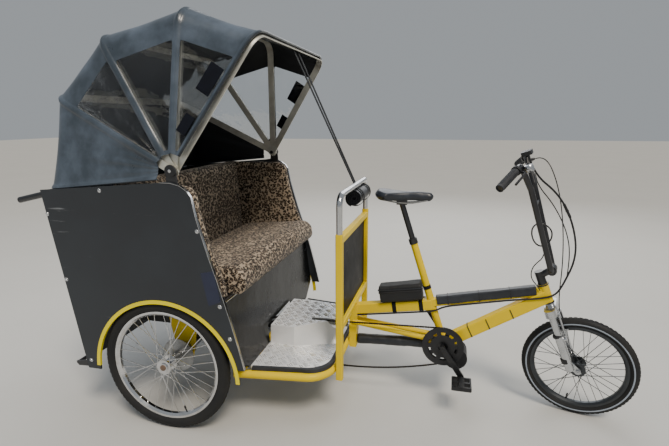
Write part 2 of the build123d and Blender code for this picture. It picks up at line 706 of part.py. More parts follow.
with BuildPart() as side_panel_right:
    with BuildSketch(across(PANEL_OUT)) as side_outline:
        with BuildLine():
            rear_top = Line(PANEL_REAR_FOOT, PANEL_REAR_TOP)
            top = ThreePointArc(PANEL_REAR_TOP, (-240.0, 1124.0), (60.0, 1149.0))
            shoulder = ThreePointArc((60.0, 1149.0), (152.0, 1138.0), (199.0, 1092.0))
            front = ThreePointArc((199.0, 1092.0), (236.0, 930.0), (288.0, 762.0))
            lower_front = ThreePointArc((288.0, 762.0), (347.0, 556.0), PANEL_FRONT_FOOT)
            Polyline(
                PANEL_FRONT_FOOT,
                (ARCH_X + 250, PANEL_FRONT_FOOT[1]),
                (ARCH_X - 250, PANEL_REAR_FOOT[1]),
                PANEL_REAR_FOOT,
            )
        make_face()
        with Locations((ARCH_X, ARCH_Z)):
            Circle(ARCH_RADIUS, mode=Mode.SUBTRACT)
    extrude(side_outline.sketch, amount=-PANEL_SHEET)

with BuildPart() as side_panel_left:
    mirror(side_panel_right.part, about=Plane.XZ)

trim_in = ARCH_RADIUS - SEAT_GAP
with BuildPart() as arch_trims:
    for side in (-1, 1):
        with BuildSketch(Plane.XZ) as lip:
            with Locations((ARCH_X, ARCH_Z)):
                Circle(trim_in)
                Circle(trim_in - 2.5, mode=Mode.SUBTRACT)
            with Locations((ARCH_X, ARCH_Z - ARCH_RADIUS + 12)):
                Rectangle(2.2 * ARCH_RADIUS, 2 * ARCH_RADIUS - 8, mode=Mode.SUBTRACT)
        near, far = sorted((side * (PANEL_OUT + 3), side * PANEL_IN))
        extrude(lip.sketch.moved(Location((0, far, 0))), amount=far - near)
        with BuildSketch(Plane.XZ) as face:
            with Locations((ARCH_X, ARCH_Z)):
                Circle(trim_in + ARCH_TRIM)
                Circle(trim_in - 2.5, mode=Mode.SUBTRACT)
            with Locations((ARCH_X, ARCH_Z - ARCH_RADIUS + 12)):
                Rectangle(2.2 * ARCH_RADIUS, 2 * ARCH_RADIUS - 8, mode=Mode.SUBTRACT)
        near, far = sorted((side * (PANEL_OUT + SEAT_GAP), side * (PANEL_OUT + 3)))
        extrude(face.sketch.moved(Location((0, far, 0))), amount=far - near)


def plate_along(points, half):
    """A sheet that runs across the cab, its edge seen from the side as a line of points."""
    with BuildSketch(Plane.XZ) as edge:
        with BuildLine():
            Polyline(*points, close=True)
        make_face()
    extrude(edge.sketch, amount=half, both=True)


rear_run = Vector(PANEL_REAR_FOOT[0] - PANEL_REAR_TOP[0], PANEL_REAR_FOOT[1] - PANEL_REAR_TOP[1])
panel_inner = PANEL_IN - SEAT_GAP


def on_rear(drop, inside):
    """A point of the rear panel's section: down its slope from the top, and inwards from it."""
    run = rear_run.normalized()
    return (
        PANEL_REAR_TOP[0] + run.X * drop - run.Y * inside,
        PANEL_REAR_TOP[1] + run.Y * drop + run.X * inside,
    )


def handle_line(side):
    """The two ends of the push handle at one side, the inner one first."""
    y = side * (PANEL_IN - HANDLE_INSET)
    inner = (PANEL_REAR_TOP[0] + 38, y, PANEL_REAR_TOP[1] - 13)
    return inner, (inner[0] - HANDLE_RUN, y, inner[2] - HANDLE_FALL)


def handle_shoulder(side):
    """The point of the push handle's axis where the handle begins, just behind the rear panel."""
    inner, outer = (Vector(*end) for end in handle_line(side))
    run = rear_run.normalized()
    square = Vector(-run.Y, 0, run.X)
    along = (outer - inner).normalized()
    depth = (inner - Vector(PANEL_REAR_TOP[0], inner.Y, PANEL_REAR_TOP[1])).dot(square)
    reach = (depth - 2 + HANDLE_OFF) / -along.dot(square)
    return inner + along * reach


with BuildPart() as rear_panel:
    plate_along((on_rear(4, 2), on_rear(4, 8), on_rear(812, 8), on_rear(812, 2)), panel_inner)
    for side in (-1, 1):
        bar(*handle_line(side), HANDLE_STUB + SEAT_GAP, mode=Mode.SUBTRACT)

kick_run = KICK_TOP[1] - plate_z - FLOOR_PLATE - SEAT_GAP
kick_foot = (KICK_TOP[0] + KICK_SLOPE * kick_run, KICK_TOP[1] - kick_run)
with BuildPart() as kick_panel:
    plate_along(
        (
            (KICK_TOP[0] - KICK_SHEET, KICK_TOP[1]),
            KICK_TOP,
            kick_foot,
            (kick_foot[0] - KICK_SHEET, kick_foot[1]),
        ),
        panel_inner,
    )
    # below the side panels the kick panel draws in to the floor's width
    for side in (-1, 1):
        with BuildSketch(Plane.YZ.offset(KICK_TOP[0] - 100)) as corner:
            with BuildLine():
                Polyline(
                    (side * (PANEL_OUT + 5), PANEL_FRONT_FOOT[1] + 8),
                    (side * (PANEL_IN - 8), PANEL_FRONT_FOOT[1] + 8),
                    (side * (FLOOR_REAR_HALF - 14), kick_foot[1] - 2),
                    (side * (PANEL_OUT + 5), kick_foot[1] - 2),
                    close=True,
                )
            make_face()
        extrude(corner.sketch, amount=300, mode=Mode.SUBTRACT)
    # mouth of the tunnel
    with BuildSketch(Plane.YZ.offset(KICK_TOP[0] - 100)) as mouth:
        with BuildLine():
            foot = TUNNEL_REAR_HALF - TUNNEL_SHEET - 6
            Polyline(
                (-foot, kick_foot[1] - 5),
                (foot, kick_foot[1] - 5),
                (foot - 8, tunnel_foot + TUNNEL_HEIGHT - TUNNEL_SHEET - 4),
                (-foot + 8, tunnel_foot + TUNNEL_HEIGHT - TUNNEL_SHEET - 4),
                close=True,
            )
        make_face()
    extrude(mouth.sketch, amount=300, mode=Mode.SUBTRACT)

with BuildPart() as seat_deck:
    block((DECK_REAR, KICK_TOP[0] + 6), (-panel_inner, panel_inner), (DECK_TOP - DECK_SHEET, DECK_TOP))

cushion_low = DECK_TOP + SEAT_GAP
with BuildPart() as seat_cushion:
    with BuildSketch(across(CUSHION_HALF)) as section:
        with BuildLine():
            low_rear = (CUSHION_REAR, cushion_low)
            top_rear = (CUSHION_REAR, cushion_low + CUSHION_THICK_REAR)
            crown = (CUSHION_FRONT - 70, cushion_low + CUSHION_THICK_FRONT)
            nose = (CUSHION_FRONT, cushion_low + CUSHION_THICK_FRONT * 0.45)
            low_nose = (CUSHION_FRONT - 36, cushion_low)
            Line(low_rear, top_rear)
            ThreePointArc(top_rear, (CUSHION_REAR + 200, cushion_low + CUSHION_THICK_REAR + 24), crown)
            ThreePointArc(crown, (CUSHION_FRONT - 14, cushion_low + CUSHION_THICK_FRONT * 0.82), nose)
            ThreePointArc(nose, (CUSHION_FRONT - 8, cushion_low + 14), low_nose)
            Line(low_nose, low_rear)
        make_face()
    extrude(section.sketch, amount=-2 * CUSHION_HALF)

back_foot = CUSHION_REAR - SEAT_GAP - 2
pad_in = PANEL_IN - 8 - SIDE_PAD
with BuildPart() as seat_back:
    with BuildSketch(across(pad_in - 3)) as section:
        with BuildLine():
            foot_rear = (back_foot - BACK_THICKNESS, cushion_low)
            top_rear = (back_foot - BACK_THICKNESS - BACK_LEAN, BACK_TOP - 20)
            top_front = (back_foot - BACK_LEAN, BACK_TOP - 20)
            foot_front = (back_foot, cushion_low)
            Line(foot_rear, top_rear)
            ThreePointArc(top_rear, ((top_rear[0] + top_front[0]) / 2, BACK_TOP), top_front)
            ThreePointArc(top_front, (back_foot - 6, (BACK_TOP + cushion_low) / 2), foot_front)
            Line(foot_front, foot_rear)
        make_face()
    extrude(section.sketch, amount=-2 * (pad_in - 3))

pad_top = BACK_TOP - 30
with BuildPart() as side_pads:
    with BuildSketch(Plane.XZ) as section:
        with BuildLine():
            Line((back_foot - BACK_THICKNESS, cushion_low), (back_foot - BACK_THICKNESS, pad_top))
            Line((back_foot - BACK_THICKNESS, pad_top), (136, pad_top))
            ThreePointArc((136, pad_top), (178, pad_top - 22), (196, pad_top - 70))
            ThreePointArc((196, pad_top - 70), (232, 895), (288, 740))
            Line((288, 740), (300, cushion_low))
            Line((300, cushion_low), (back_foot - BACK_THICKNESS, cushion_low))
        make_face()
    for low in (pad_in, -pad_in - SIDE_PAD):
        extrude(section.sketch.moved(Location((0, low + SIDE_PAD, 0))), amount=SIDE_PAD)

# Chassis under the seat, axle and battery
rail_top = DECK_TOP - DECK_SHEET - SEAT_GAP
rail_mid = rail_top - RAIL_BOX / 2
with BuildPart() as rear_chassis:
    for side in (-1, 1):
        y = side * RAIL_HALF
        box_tube((-430, y, rail_mid), (KICK_TOP[0] - 12, y, rail_mid), RAIL_BOX, RAIL_BOX)
        # leg from the rail down to the floor frame
        box_tube(
            (FLOOR_REAR_X + 10, y, FLOOR_TUBE_Z + FLOOR_TUBE_RADIUS - 3 + SEAT_GAP),
            (KICK_TOP[0] - 12 - RAIL_BOX, y, rail_mid),
            RAIL_BOX - 4,
            RAIL_BOX - 4,
        )
        # hanger plate for the axle, with the web that stiffens it
        with BuildSketch(Plane.XZ) as hanger:
            with BuildLine():
                Polyline(
                    (-105, rail_mid),
                    (-40, REAR_HUB_Z - 34),
                    (40, REAR_HUB_Z - 34),
                    (105, rail_mid),
                    close=True,
                )
            make_face()
        extrude(hanger.sketch.moved(Location((0, y + AXLE_PLATE / 2, 0))), amount=AXLE_PLATE)
    for x in (-413, -140, 140):
        box_tube((x, -RAIL_HALF, rail_mid), (x, RAIL_HALF, rail_mid), RAIL_BOX - 6, RAIL_BOX - 6)
    bar(
        (0, -RAIL_HALF - 30, REAR_HUB_Z),
        (0, RAIL_HALF + 30, REAR_HUB_Z),
        AXLE_TUBE_RADIUS + SEAT_GAP,
        mode=Mode.SUBTRACT,
    )

axle_end = TRACK_HALF - REAR_HUB_HALF - 4
with BuildPart() as rear_axle:
    bar((0, -axle_end, REAR_HUB_Z), (0, axle_end, REAR_HUB_Z), AXLE_TUBE_RADIUS)
    tip = TRACK_HALF + REAR_HUB_HALF
    bar((0, -tip, REAR_HUB_Z), (0, tip, REAR_HUB_Z), AXLE_RADIUS)
    for y in (-RAIL_HALF, RAIL_HALF):
        for offset in (-30, AXLE_PLATE / 2 + SEAT_GAP):
            bar((0, y + offset, REAR_HUB_Z), (0, y + offset + 25, REAR_HUB_Z), 40)
    # sprocket that the chain sits on
    bar(
        (0, CHAINRING_Y - 2, REAR_HUB_Z),
        (0, CHAINRING_Y + 2, REAR_HUB_Z),
        SPROCKET_RADIUS - SEAT_GAP,
    )
    # brake disc inside the right wheel
    bar((0, -458, REAR_HUB_Z), (0, -455, REAR_HUB_Z), 80)

with BuildPart() as battery_box:
    battery_top = rail_mid - (RAIL_BOX - 6) / 2 - SEAT_GAP
    battery_half = RAIL_HALF - RAIL_BOX / 2 - 40
    block(BATTERY_X, (-battery_half, battery_half), (battery_top - BATTERY_DEPTH, battery_top))

with BuildPart() as rear_handles:
    for side in (-1, 1):
        inner, outer = handle_line(side)
        bar(inner, outer, HANDLE_STUB)
        bar(handle_shoulder(side), outer, HANDLE_RADIUS)
        block(
            (inner[0] - 5, inner[0] + 45),
            sorted((side * (PANEL_IN - SEAT_GAP), side * (PANEL_IN - HANDLE_INSET - 2))),
            (inner[2] - 22, inner[2] + 12),
        )

bar_x = PANEL_REAR_FOOT[0] - 71
bar_z = PANEL_REAR_FOOT[1] + 10
with BuildPart() as rear_bar:
    bar((bar_x, -PANEL_IN + 6, bar_z), (bar_x, PANEL_IN - 6, bar_z), 9)
    for side in (-1, 1):
        y = side * (PANEL_IN - SEAT_GAP - 3)
        with BuildSketch(Plane.XZ) as lug:
            with BuildLine():
                Polyline(
                    (bar_x + 86, bar_z + 27),
                    (bar_x + 86, bar_z - 7),
                    (bar_x + 6, bar_z - 11),
                    (bar_x - 6, bar_z + 9),
                    close=True,
                )
            make_face()
        extrude(lug.sketch.moved(Location((0, y + 3, 0))), amount=6)

# Wheels


def wheel(mid, rim_radius, rim_width, hub_radius, hub_half, spokes, bore):
    """A spoked wheel on an axis along Y: hub with flanges, spokes crossing in pairs, and rim."""
    with BuildPart() as piece:
        with BuildSketch(Plane.XY) as hub:
            with BuildLine():
                neck = hub_radius * 0.72
                flange = hub_half - 6
                Polyline(
                    (bore, -hub_half),
                    (neck, -hub_half),
                    (neck, -flange),
                    (hub_radius + 8, -flange),
                    (hub_radius + 8, -flange + 3),
                    (neck, -flange + 3),
                    (neck, flange - 3),
                    (hub_radius + 8, flange - 3),
                    (hub_radius + 8, flange),
                    (neck, flange),
                    (neck, hub_half),
                    (bore, hub_half),
                    close=True,
                )
            make_face()
        revolve(hub.sketch, axis=Axis.Y)
        with BuildSketch(Plane.XY) as rim:
            with BuildLine():
                half = rim_width / 2
                Polyline(
                    (rim_radius, -half),
                    (rim_radius, half),
                    (rim_radius - 10, half),
                    (rim_radius - 19, half * 0.45),
                    (rim_radius - 19, -half * 0.45),
                    (rim_radius - 10, -half),
                    close=True,
                )
            make_face()
        revolve(rim.sketch, axis=Axis.Y)
        for number in range(spokes):
            lean = (-1, 1)[number // 2 % 2] * 58.0
            side = (-1, 1)[number % 2]
            at_rim = 360.0 * number / spokes
            at_hub = radians(at_rim + lean)
            start = Vector((hub_radius + 5) * cos(at_hub), side * (flange - 1.5), (hub_radius + 5) * sin(at_hub))
            end = Vector((rim_radius - 16) * cos(radians(at_rim)), side * 2, (rim_radius - 16) * sin(radians(at_rim)))
            with BuildSketch(Plane(origin=start, z_dir=end - start)) as wire:
                Rectangle(2.2, 2.2)
            extrude(wire.sketch, amount=(end - start).length)
    return piece.part.moved(Location(mid))


def tyre(mid, radius, width, rim_radius):
    """A tyre on an axis along Y: round outside, seated on the rim."""
    with BuildPart() as piece:
        with BuildSketch(Plane.XY) as section:
            with BuildLine():
                inner = rim_radius + SEAT_GAP
                bead = width * 0.3
                Line((inner, -bead), (inner, bead))
                ThreePointArc((inner, bead), (radius - width * 0.46, width / 2), (radius - 4, width * 0.22))
                ThreePointArc((radius - 4, width * 0.22), (radius, 0), (radius - 4, -width * 0.22))
                ThreePointArc((radius - 4, -width * 0.22), (radius - width * 0.46, -width / 2), (inner, -bead))
            make_face()
        revolve(section.sketch, axis=Axis.Y)
    return piece.part.moved(Location(mid))


rear_wheel = wheel(
    (0, -TRACK_HALF, REAR_HUB_Z), REAR_RIM_RADIUS, 32, REAR_HUB_RADIUS, REAR_HUB_HALF,
    REAR_SPOKES, AXLE_RADIUS + RUNNING_FIT,
)
rear_tyre = tyre((0, -TRACK_HALF, REAR_HUB_Z), REAR_RADIUS, REAR_TYRE_WIDTH, REAR_RIM_RADIUS)
front_centre = (WHEELBASE, 0, FRONT_HUB_Z)
front_wheel = wheel(
    front_centre, FRONT_RIM_RADIUS, 28, FRONT_HUB_RADIUS, FRONT_HUB_HALF,
    FRONT_SPOKES, FRONT_AXLE_RADIUS + RUNNING_FIT,
)
front_tyre = tyre(front_centre, FRONT_RADIUS, FRONT_TYRE_WIDTH, FRONT_RIM_RADIUS)


# Fork and bars, drawn with the wheel straight ahead and turned as one at the end


def steer_bar(start, end, radius, bore=0.0, mode=Mode.ADD):
    """A round bar between two points given from the steering axis."""
    bar(tuple(on_steering(*start)), tuple(on_steering(*end)), radius, bore, mode)


def steer_sweep(points, radius, bend):
    """A round tube along points given from the steering axis, bent to one radius."""
    with BuildLine() as route:
        FilletPolyline(*(on_steering(*point) for point in points), radius=bend)
    with BuildSketch(Plane(origin=route.line @ 0, z_dir=route.line % 0)) as section:
        Circle(radius)
    sweep(section.sketch, path=route.line)


dropout_inner = FRONT_HUB_HALF + 1.5
with BuildPart() as fork:
    with BuildSketch(steer_plane.offset(CROWN_LOW)) as crown:
        with Locations((2, 0)):
            SlotOverall(2 * (FORK_HALF + FORK_LEG_RADIUS + 3), 50, rotation=90)
    extrude(crown.sketch, amount=CROWN_HEIGHT)
    steer_bar((0, 0, CROWN_LOW + 4), (0, 0, STEM_TOP - 6), STEERER_RADIUS)
    # lower race of the headset
    steer_bar((0, 0, CROWN_LOW + CROWN_HEIGHT - 1), (0, 0, HEAD_BOTTOM - SEAT_GAP), HEAD_RADIUS - 2)
    for side in (-1, 1):
        y = side * FORK_HALF
        # slider below, thinner stanchion above
        steer_bar((5, y, 22), (5, y, 196), FORK_LEG_RADIUS + 3)
        steer_bar((5, y, 196), (5, y, CROWN_LOW + 6), FORK_LEG_RADIUS)
        # dropout that carries the axle ahead of the leg
        with BuildSketch(Plane(origin=tuple(on_steering(0, 0, 0)), x_dir=steer_plane.x_dir, z_dir=(0, -1, 0))) as plate:
            with BuildLine():
                Polyline((-12, 48), (22, 48), (45, 8), (45, -12), (22, -12), close=True)
            make_face()
        near, far = sorted((side * dropout_inner, side * (dropout_inner + 7)))
        extrude(plate.sketch.moved(Location((0, far, 0))), amount=far - near)
        # brake boss
        steer_bar((8, y, BRAKE_BOSS), (36, y, BRAKE_BOSS), 9)
    axle_tip = dropout_inner + 7 + 12
    steer_bar((FORK_OFFSET, -axle_tip, 0), (FORK_OFFSET, axle_tip, 0), FRONT_AXLE_RADIUS)
    for side in (-1, 1):
        steer_bar(
            (FORK_OFFSET, side * (dropout_inner + 7), 0), (FORK_OFFSET, side * (axle_tip - 3), 0), 10
        )

BAR_ROUTE = (
    # forward of the steering axis, to the right, along the axis
    (58, 0, 495),
    (58, 42, 495),
    (90, 68, 890),
    (88, 110, 1012),
    (81, 154, 1008),
    (15, 284, 973),
)


with BuildPart() as handlebar:
    # stem: clamp round the steerer, reach to the clamp of the bar
    steer_bar((0, 0, HEAD_TOP + SEAT_GAP), (0, 0, HEAD_TOP + 9), HEAD_RADIUS - 2)
    steer_bar((0, 0, HEAD_TOP + 8), (0, 0, STEM_TOP), 20)
    steer_bar((0, 0, STEM_TOP - 22), (BAR_ROUTE[0][0], 0, BAR_ROUTE[0][2]), 16)
    steer_bar((BAR_ROUTE[0][0], -24, BAR_ROUTE[0][2]), (BAR_ROUTE[0][0], 24, BAR_ROUTE[0][2]), 22)
    steer_bar((0, 0, HEAD_TOP - 2), (0, 0, STEM_TOP - 6), STEERER_RADIUS, mode=Mode.SUBTRACT)
    steer_sweep(
        [(f, -side, s) for f, side, s in BAR_ROUTE[:0:-1]] + [(f, side, s) for f, side, s in BAR_ROUTE[1:]],
        BAR_RADIUS,
        BAR_BEND,
    )
    # tie between the risers
    steer_bar((84, -62, 815), (84, 62, 815), 8)

grip_dir = (Vector(*BAR_ROUTE[-1]) - Vector(*BAR_ROUTE[-2])).normalized()


def along_bar(distance, side, lift=(0, 0, 0)):
    """A point on the bar's grip section, measured inwards from its end."""
    point = Vector(*BAR_ROUTE[-1]) - grip_dir * distance + Vector(*lift)
    return (point.X, side * point.Y, point.Z)


with BuildPart() as grips:
    for side in (-1, 1):
        steer_bar(along_bar(-4, side), along_bar(GRIP_LENGTH, side), GRIP_RADIUS, BAR_RADIUS)

with BuildPart() as bar_controls:
    for side in (-1, 1):
        # lever clamp, perch and blade ahead of the grip
        clamp = (along_bar(GRIP_LENGTH + 2, side), along_bar(GRIP_LENGTH + 15, side))
        steer_bar(*clamp, BAR_RADIUS + 8, BAR_RADIUS + RUNNING_FIT)
        perch = along_bar(GRIP_LENGTH - 2, side, LEVER_PERCH)
        steer_bar(along_bar(GRIP_LENGTH + 8, side, (18, 0, -14)), perch, 6)
        steer_bar(perch, along_bar(26, side, (46, 0, -14)), 5)
    # display on the bar
    with BuildSketch(steer_plane.offset(DISPLAY_PLACE[2])) as face:
        with Locations(DISPLAY_PLACE[:2]):
            RectangleRounded(44, 64, 6)
    extrude(face.sketch, amount=18)
    steer_bar((109, -98, 984), (116, -62, 1042), 6)

with BuildPart() as front_brake:
    for side in (-1, 1):
        # arm from the boss up over the tyre, with the pad that reaches in to the rim
        steer_bar((30, side * (FORK_HALF - 24), BRAKE_BOSS - 4), (30, side * 34, 284), 5.5)
        steer_bar((30, side * (FORK_HALF - 9.3), BRAKE_BOSS), (30, side * (FORK_HALF - 28), BRAKE_BOSS), 6)
        steer_bar((28, side * 17, 202), (28, side * 38, 202), 5)
        steer_bar((14, side * 19.5, 202), (48, side * 19.5, 202), 4.5)
    steer_bar((30, -34, 284), (30, 34, 284), 3)

# Hood


def bow_plane(angle):
    """The plane through the hood's hinge line that stands at an angle above straight ahead."""
    turn = radians(angle)
    return Plane(
        origin=(HINGE_X, 0, HINGE_Z), x_dir=(cos(turn), 0, sin(turn)), z_dir=(-sin(turn), 0, cos(turn))
    )


def bow_outline(plane, reach, half, foot, start, grow):
    """The closed outline inside a bow: arms, bent corners and roof, moved outwards by grow."""
    with BuildSketch(plane) as outline:
        with BuildLine():
            FilletPolyline(
                (BOW_STRAIGHT, -foot - grow),
                (reach + grow, -half - grow),
                (reach + grow, half + grow),
                (BOW_STRAIGHT, foot + grow),
                radius=BOW_CORNER + grow,
            )
            Polyline(
                (BOW_STRAIGHT, foot + grow),
                (start, foot + grow),
                (start, -foot - grow),
                (BOW_STRAIGHT, -foot - grow),
            )
        make_face()
    return outline.sketch


def cloth_band(number, grow):
    """The outline of the cloth at one bow's plane."""
    angle, reach, lean = HOOD[number]
    half = BOW_FOOT_HALF - lean
    taper = lean * (CLOTH_START - BOW_STRAIGHT) / (reach - BOW_STRAIGHT)
    foot = BOW_FOOT_HALF - taper + grow
    with BuildSketch(bow_plane(angle)) as outline:
        with BuildLine():
            FilletPolyline(
                (CLOTH_START, -foot),
                (reach + grow, -half - grow),
                (reach + grow, half + grow),
                (CLOTH_START, foot),
                radius=BOW_CORNER + grow,
            )
            Line((CLOTH_START, foot), (CLOTH_START, -foot))
        make_face()
    return outline.sketch


with BuildPart() as hood_hinges:
    for side in (-1, 1):
        face = side * (PANEL_IN - SEAT_GAP)
        inner = side * (PANEL_IN - SEAT_GAP - 6)
        with BuildSketch(Plane.XZ) as plate:
            with BuildLine():
                Polyline((82, 1092), (142, 1092), (134, 1204), (126, 1216), (98, 1216), (90, 1204), close=True)
            make_face()
        near, far = sorted((face, inner))
        extrude(plate.sketch.moved(Location((0, far, 0))), amount=far - near)
        bar((HINGE_X, inner, HINGE_Z), (HINGE_X, side * PIVOT_TIP, HINGE_Z), PIVOT_RADIUS)
        bar((HINGE_X, side * PIVOT_TIP, HINGE_Z), (HINGE_X, side * (PIVOT_TIP - 5), HINGE_Z), PIVOT_RADIUS + 4)


def hood_bow(number):
    """One bow of the hood, with an eye at each end for the pivot pin."""
    angle, reach, lean = HOOD[number]
    half = BOW_FOOT_HALF - lean
    foot = BOW_FOOT_HALF - BOW_PITCH * (number - 1)
    plane = bow_plane(angle)
    with BuildPart() as piece:
        strip = bow_outline(plane, reach, half, foot, -19, BOW_STRIP / 2)
        extrude(strip, amount=BOW_WIDTH / 2, both=True)
        hollow = bow_outline(plane, reach, half, foot, -30, -BOW_STRIP / 2)
        extrude(hollow, amount=BOW_WIDTH, both=True, mode=Mode.SUBTRACT)
        bar((HINGE_X, -600, HINGE_Z), (HINGE_X, 600, HINGE_Z), PIVOT_RADIUS + RUNNING_FIT, mode=Mode.SUBTRACT)
    return piece.part


def polar(angle, reach, shift):
    """A point of the hood's side view: out from the hinge at an angle, moved square to that line."""
    turn = radians(angle)
    return (
        HINGE_X + reach * cos(turn) - shift * sin(turn),
        HINGE_Z + reach * sin(turn) + shift * cos(turn),
    )


def window_prism(number, trim, mode):
    """The window between a bow and the one behind it, cut through both sides of the hood."""
    rear, front = HOOD[number - 1][0], HOOD[number][0]
    edge = WINDOW_MARGIN + trim
    for side in (-1, 1):
        with BuildSketch(Plane.XZ) as opening:
            with BuildLine():
                Polyline(
                    polar(rear, WINDOW_REACH - trim, -edge),
                    polar(front, WINDOW_REACH - trim, edge),
                    polar(front, WINDOW_START + trim * 3, edge),
                    polar(rear, WINDOW_START + trim * 3, -edge),
                    close=True,
                )
            make_face()
        far = max(side * 420, side * 640)
        extrude(opening.sketch.moved(Location((0, far, 0))), amount=220, mode=mode)


def hood_bay(number, grow):
    """The two end sections of one bay of the hood, moved outwards by grow."""
    return [cloth_band(number - 1, grow), cloth_band(number, grow)]


def hood_cloth(number):
    """The cloth from one bow's plane to the next, roof and both sides."""
    with BuildPart() as piece:
        loft(hood_bay(number, CLOTH_STAND_OFF + CLOTH), ruled=True)
        loft(hood_bay(number, CLOTH_STAND_OFF), ruled=True, mode=Mode.SUBTRACT)
        if number in WINDOWS:
            window_prism(number, 0.0, Mode.SUBTRACT)
    return piece.part


def hood_window(number):
    """The clear panes of one bay, as thick as the cloth that they are set in."""
    with BuildPart() as piece:
        window_prism(number, SEAT_GAP, Mode.ADD)
        loft(hood_bay(number, CLOTH_STAND_OFF + CLOTH), ruled=True, mode=Mode.INTERSECT)
        loft(hood_bay(number, CLOTH_STAND_OFF), ruled=True, mode=Mode.SUBTRACT)
    return piece.part


bow_top = polar(HOOD[4][0], HOOD[4][1] - BOW_STRIP / 2 - 2, 0)
with BuildPart() as hood_straps:
    for top_y, low_y in ((40, 14), (-25, -12)):
        box_tube(
            (bow_top[0], top_y, bow_top[1]), (POST_X + 2, low_y, RAIL_TOP + 2), STRAP_WIDTH, 3, 1.2
        )

# Cables


def turned(forward, side, along):
    """A point given from the steering axis, carried round with the bars."""
    ahead = forward * steer_cos - side * steer_sin
    across_axis = forward * steer_sin + side * steer_cos
    return tuple(on_steering(ahead, across_axis, along))


def cable(points, radius):
    """A cable along straight runs, each bend taking a fixed share of the shorter run beside it."""
    runs = [Vector(*end) - Vector(*start) for start, end in zip(points, points[1:])]
    radii = []
    for before, after in zip(runs, runs[1:]):
        half_turn = radians(before.get_angle(after) / 2)
        radii.append(ROUND_OFF * min(before.length, after.length) / tan(half_turn))
    print("bend radii", [round(value) for value in radii])
    with BuildLine() as route:
        FilletPolyline(*points, radius=radii)
    with BuildSketch(Plane(origin=route.line @ 0, z_dir=route.line % 0)) as section:
        Circle(radius)
    sweep(section.sketch, path=route.line)


def lever_end(side):
    """Where a cable leaves the brake lever at one side."""
    perch = along_bar(GRIP_LENGTH - 2, side, LEVER_PERCH)
    return (perch[0] + 7.5, perch[1] - side * 5.0, perch[2])


# from the left lever down to the front brake, and the spare loop tied inside the right riser
BRAKE_ROUTE = (
    lever_end(1),
    (165, 140, 992),
    (182, 100, 860),
    (158, 78, 690),
    (105, 46, 500),
    (44, 14, 350),
    (31, 12, 287.7),
)
riser_low = Vector(*on_steering(BAR_ROUTE[1][0], -BAR_ROUTE[1][1], BAR_ROUTE[1][2]))
riser_high = Vector(*on_steering(BAR_ROUTE[2][0], -BAR_ROUTE[2][1], BAR_ROUTE[2][2]))
riser_dir = (riser_high - riser_low).normalized()
inward = (Vector(0, 1, 0) - riser_dir * riser_dir.Y).normalized()
loop_mid = riser_low + (riser_high - riser_low) * 0.62 + inward * (BAR_RADIUS + CABLE_RADIUS + SEAT_GAP)
with BuildPart() as brake_cables:
    cable([tuple(on_steering(*point)) for point in BRAKE_ROUTE], CABLE_RADIUS)
    with Locations(Plane(origin=loop_mid, z_dir=inward).location):
        Torus(SPARE_LOOP, CABLE_RADIUS)

# from the display down past the head tube, then under the top tube and the beam
tube_side = -(TOP_TUBE_WIDTH / 2 + SEAT_GAP + BUNDLE_RADIUS)
head_side = -(DOWN_TUBE_WIDTH / 2 + 2 * SEAT_GAP + BUNDLE_RADIUS)
under_tube = -(TOP_TUBE_HEIGHT / 2 + 1)
under_beam = -(BEAM_HEIGHT / 2 + 2 * SEAT_GAP + BUNDLE_RADIUS)
display_foot = (DISPLAY_PLACE[0], DISPLAY_PLACE[1] + 14, DISPLAY_PLACE[2] - 1)
BUNDLE_BARS = (
    display_foot,
    (112, -16, 950),
    (182, 38, 815),
    (196, 50, 660),
    (168, 42, 515),
    (78, 8, 405),
)
# alongside the frame: a point in the middle plane, and how far to the side of it
BUNDLE_FRAME = (
    (on_steering(30, 0, 375), head_side),
    (on_steering(-40, 0, 381), head_side),
    (on_top_tube(428, under_tube), head_side),
    (on_top_tube(372, under_tube), tube_side),
    (on_top_tube(60, under_tube), tube_side),
    (on_beam(beam_length + 8, under_beam), tube_side),
    (on_beam(1, under_beam), tube_side + 4),
)
# the right brake lever's cable, until it joins the bundle
JOINING_ROUTE = (
    lever_end(-1),
    (138, -130, 978),
    (118, -45, 900),
    (150, 0, 790),
    (164, 30, 650),
    (146, 30, 530),
    (104.1, 17.9, 436.9),
)
bundle_points = [turned(*point) for point in BUNDLE_BARS]
for middle, offset in BUNDLE_FRAME:
    bundle_points.append((tuple(middle)[0], offset, tuple(middle)[2]))
with BuildPart() as frame_cables:
    cable(bundle_points, BUNDLE_RADIUS)
    cable([turned(*point) for point in JOINING_ROUTE], CABLE_RADIUS)

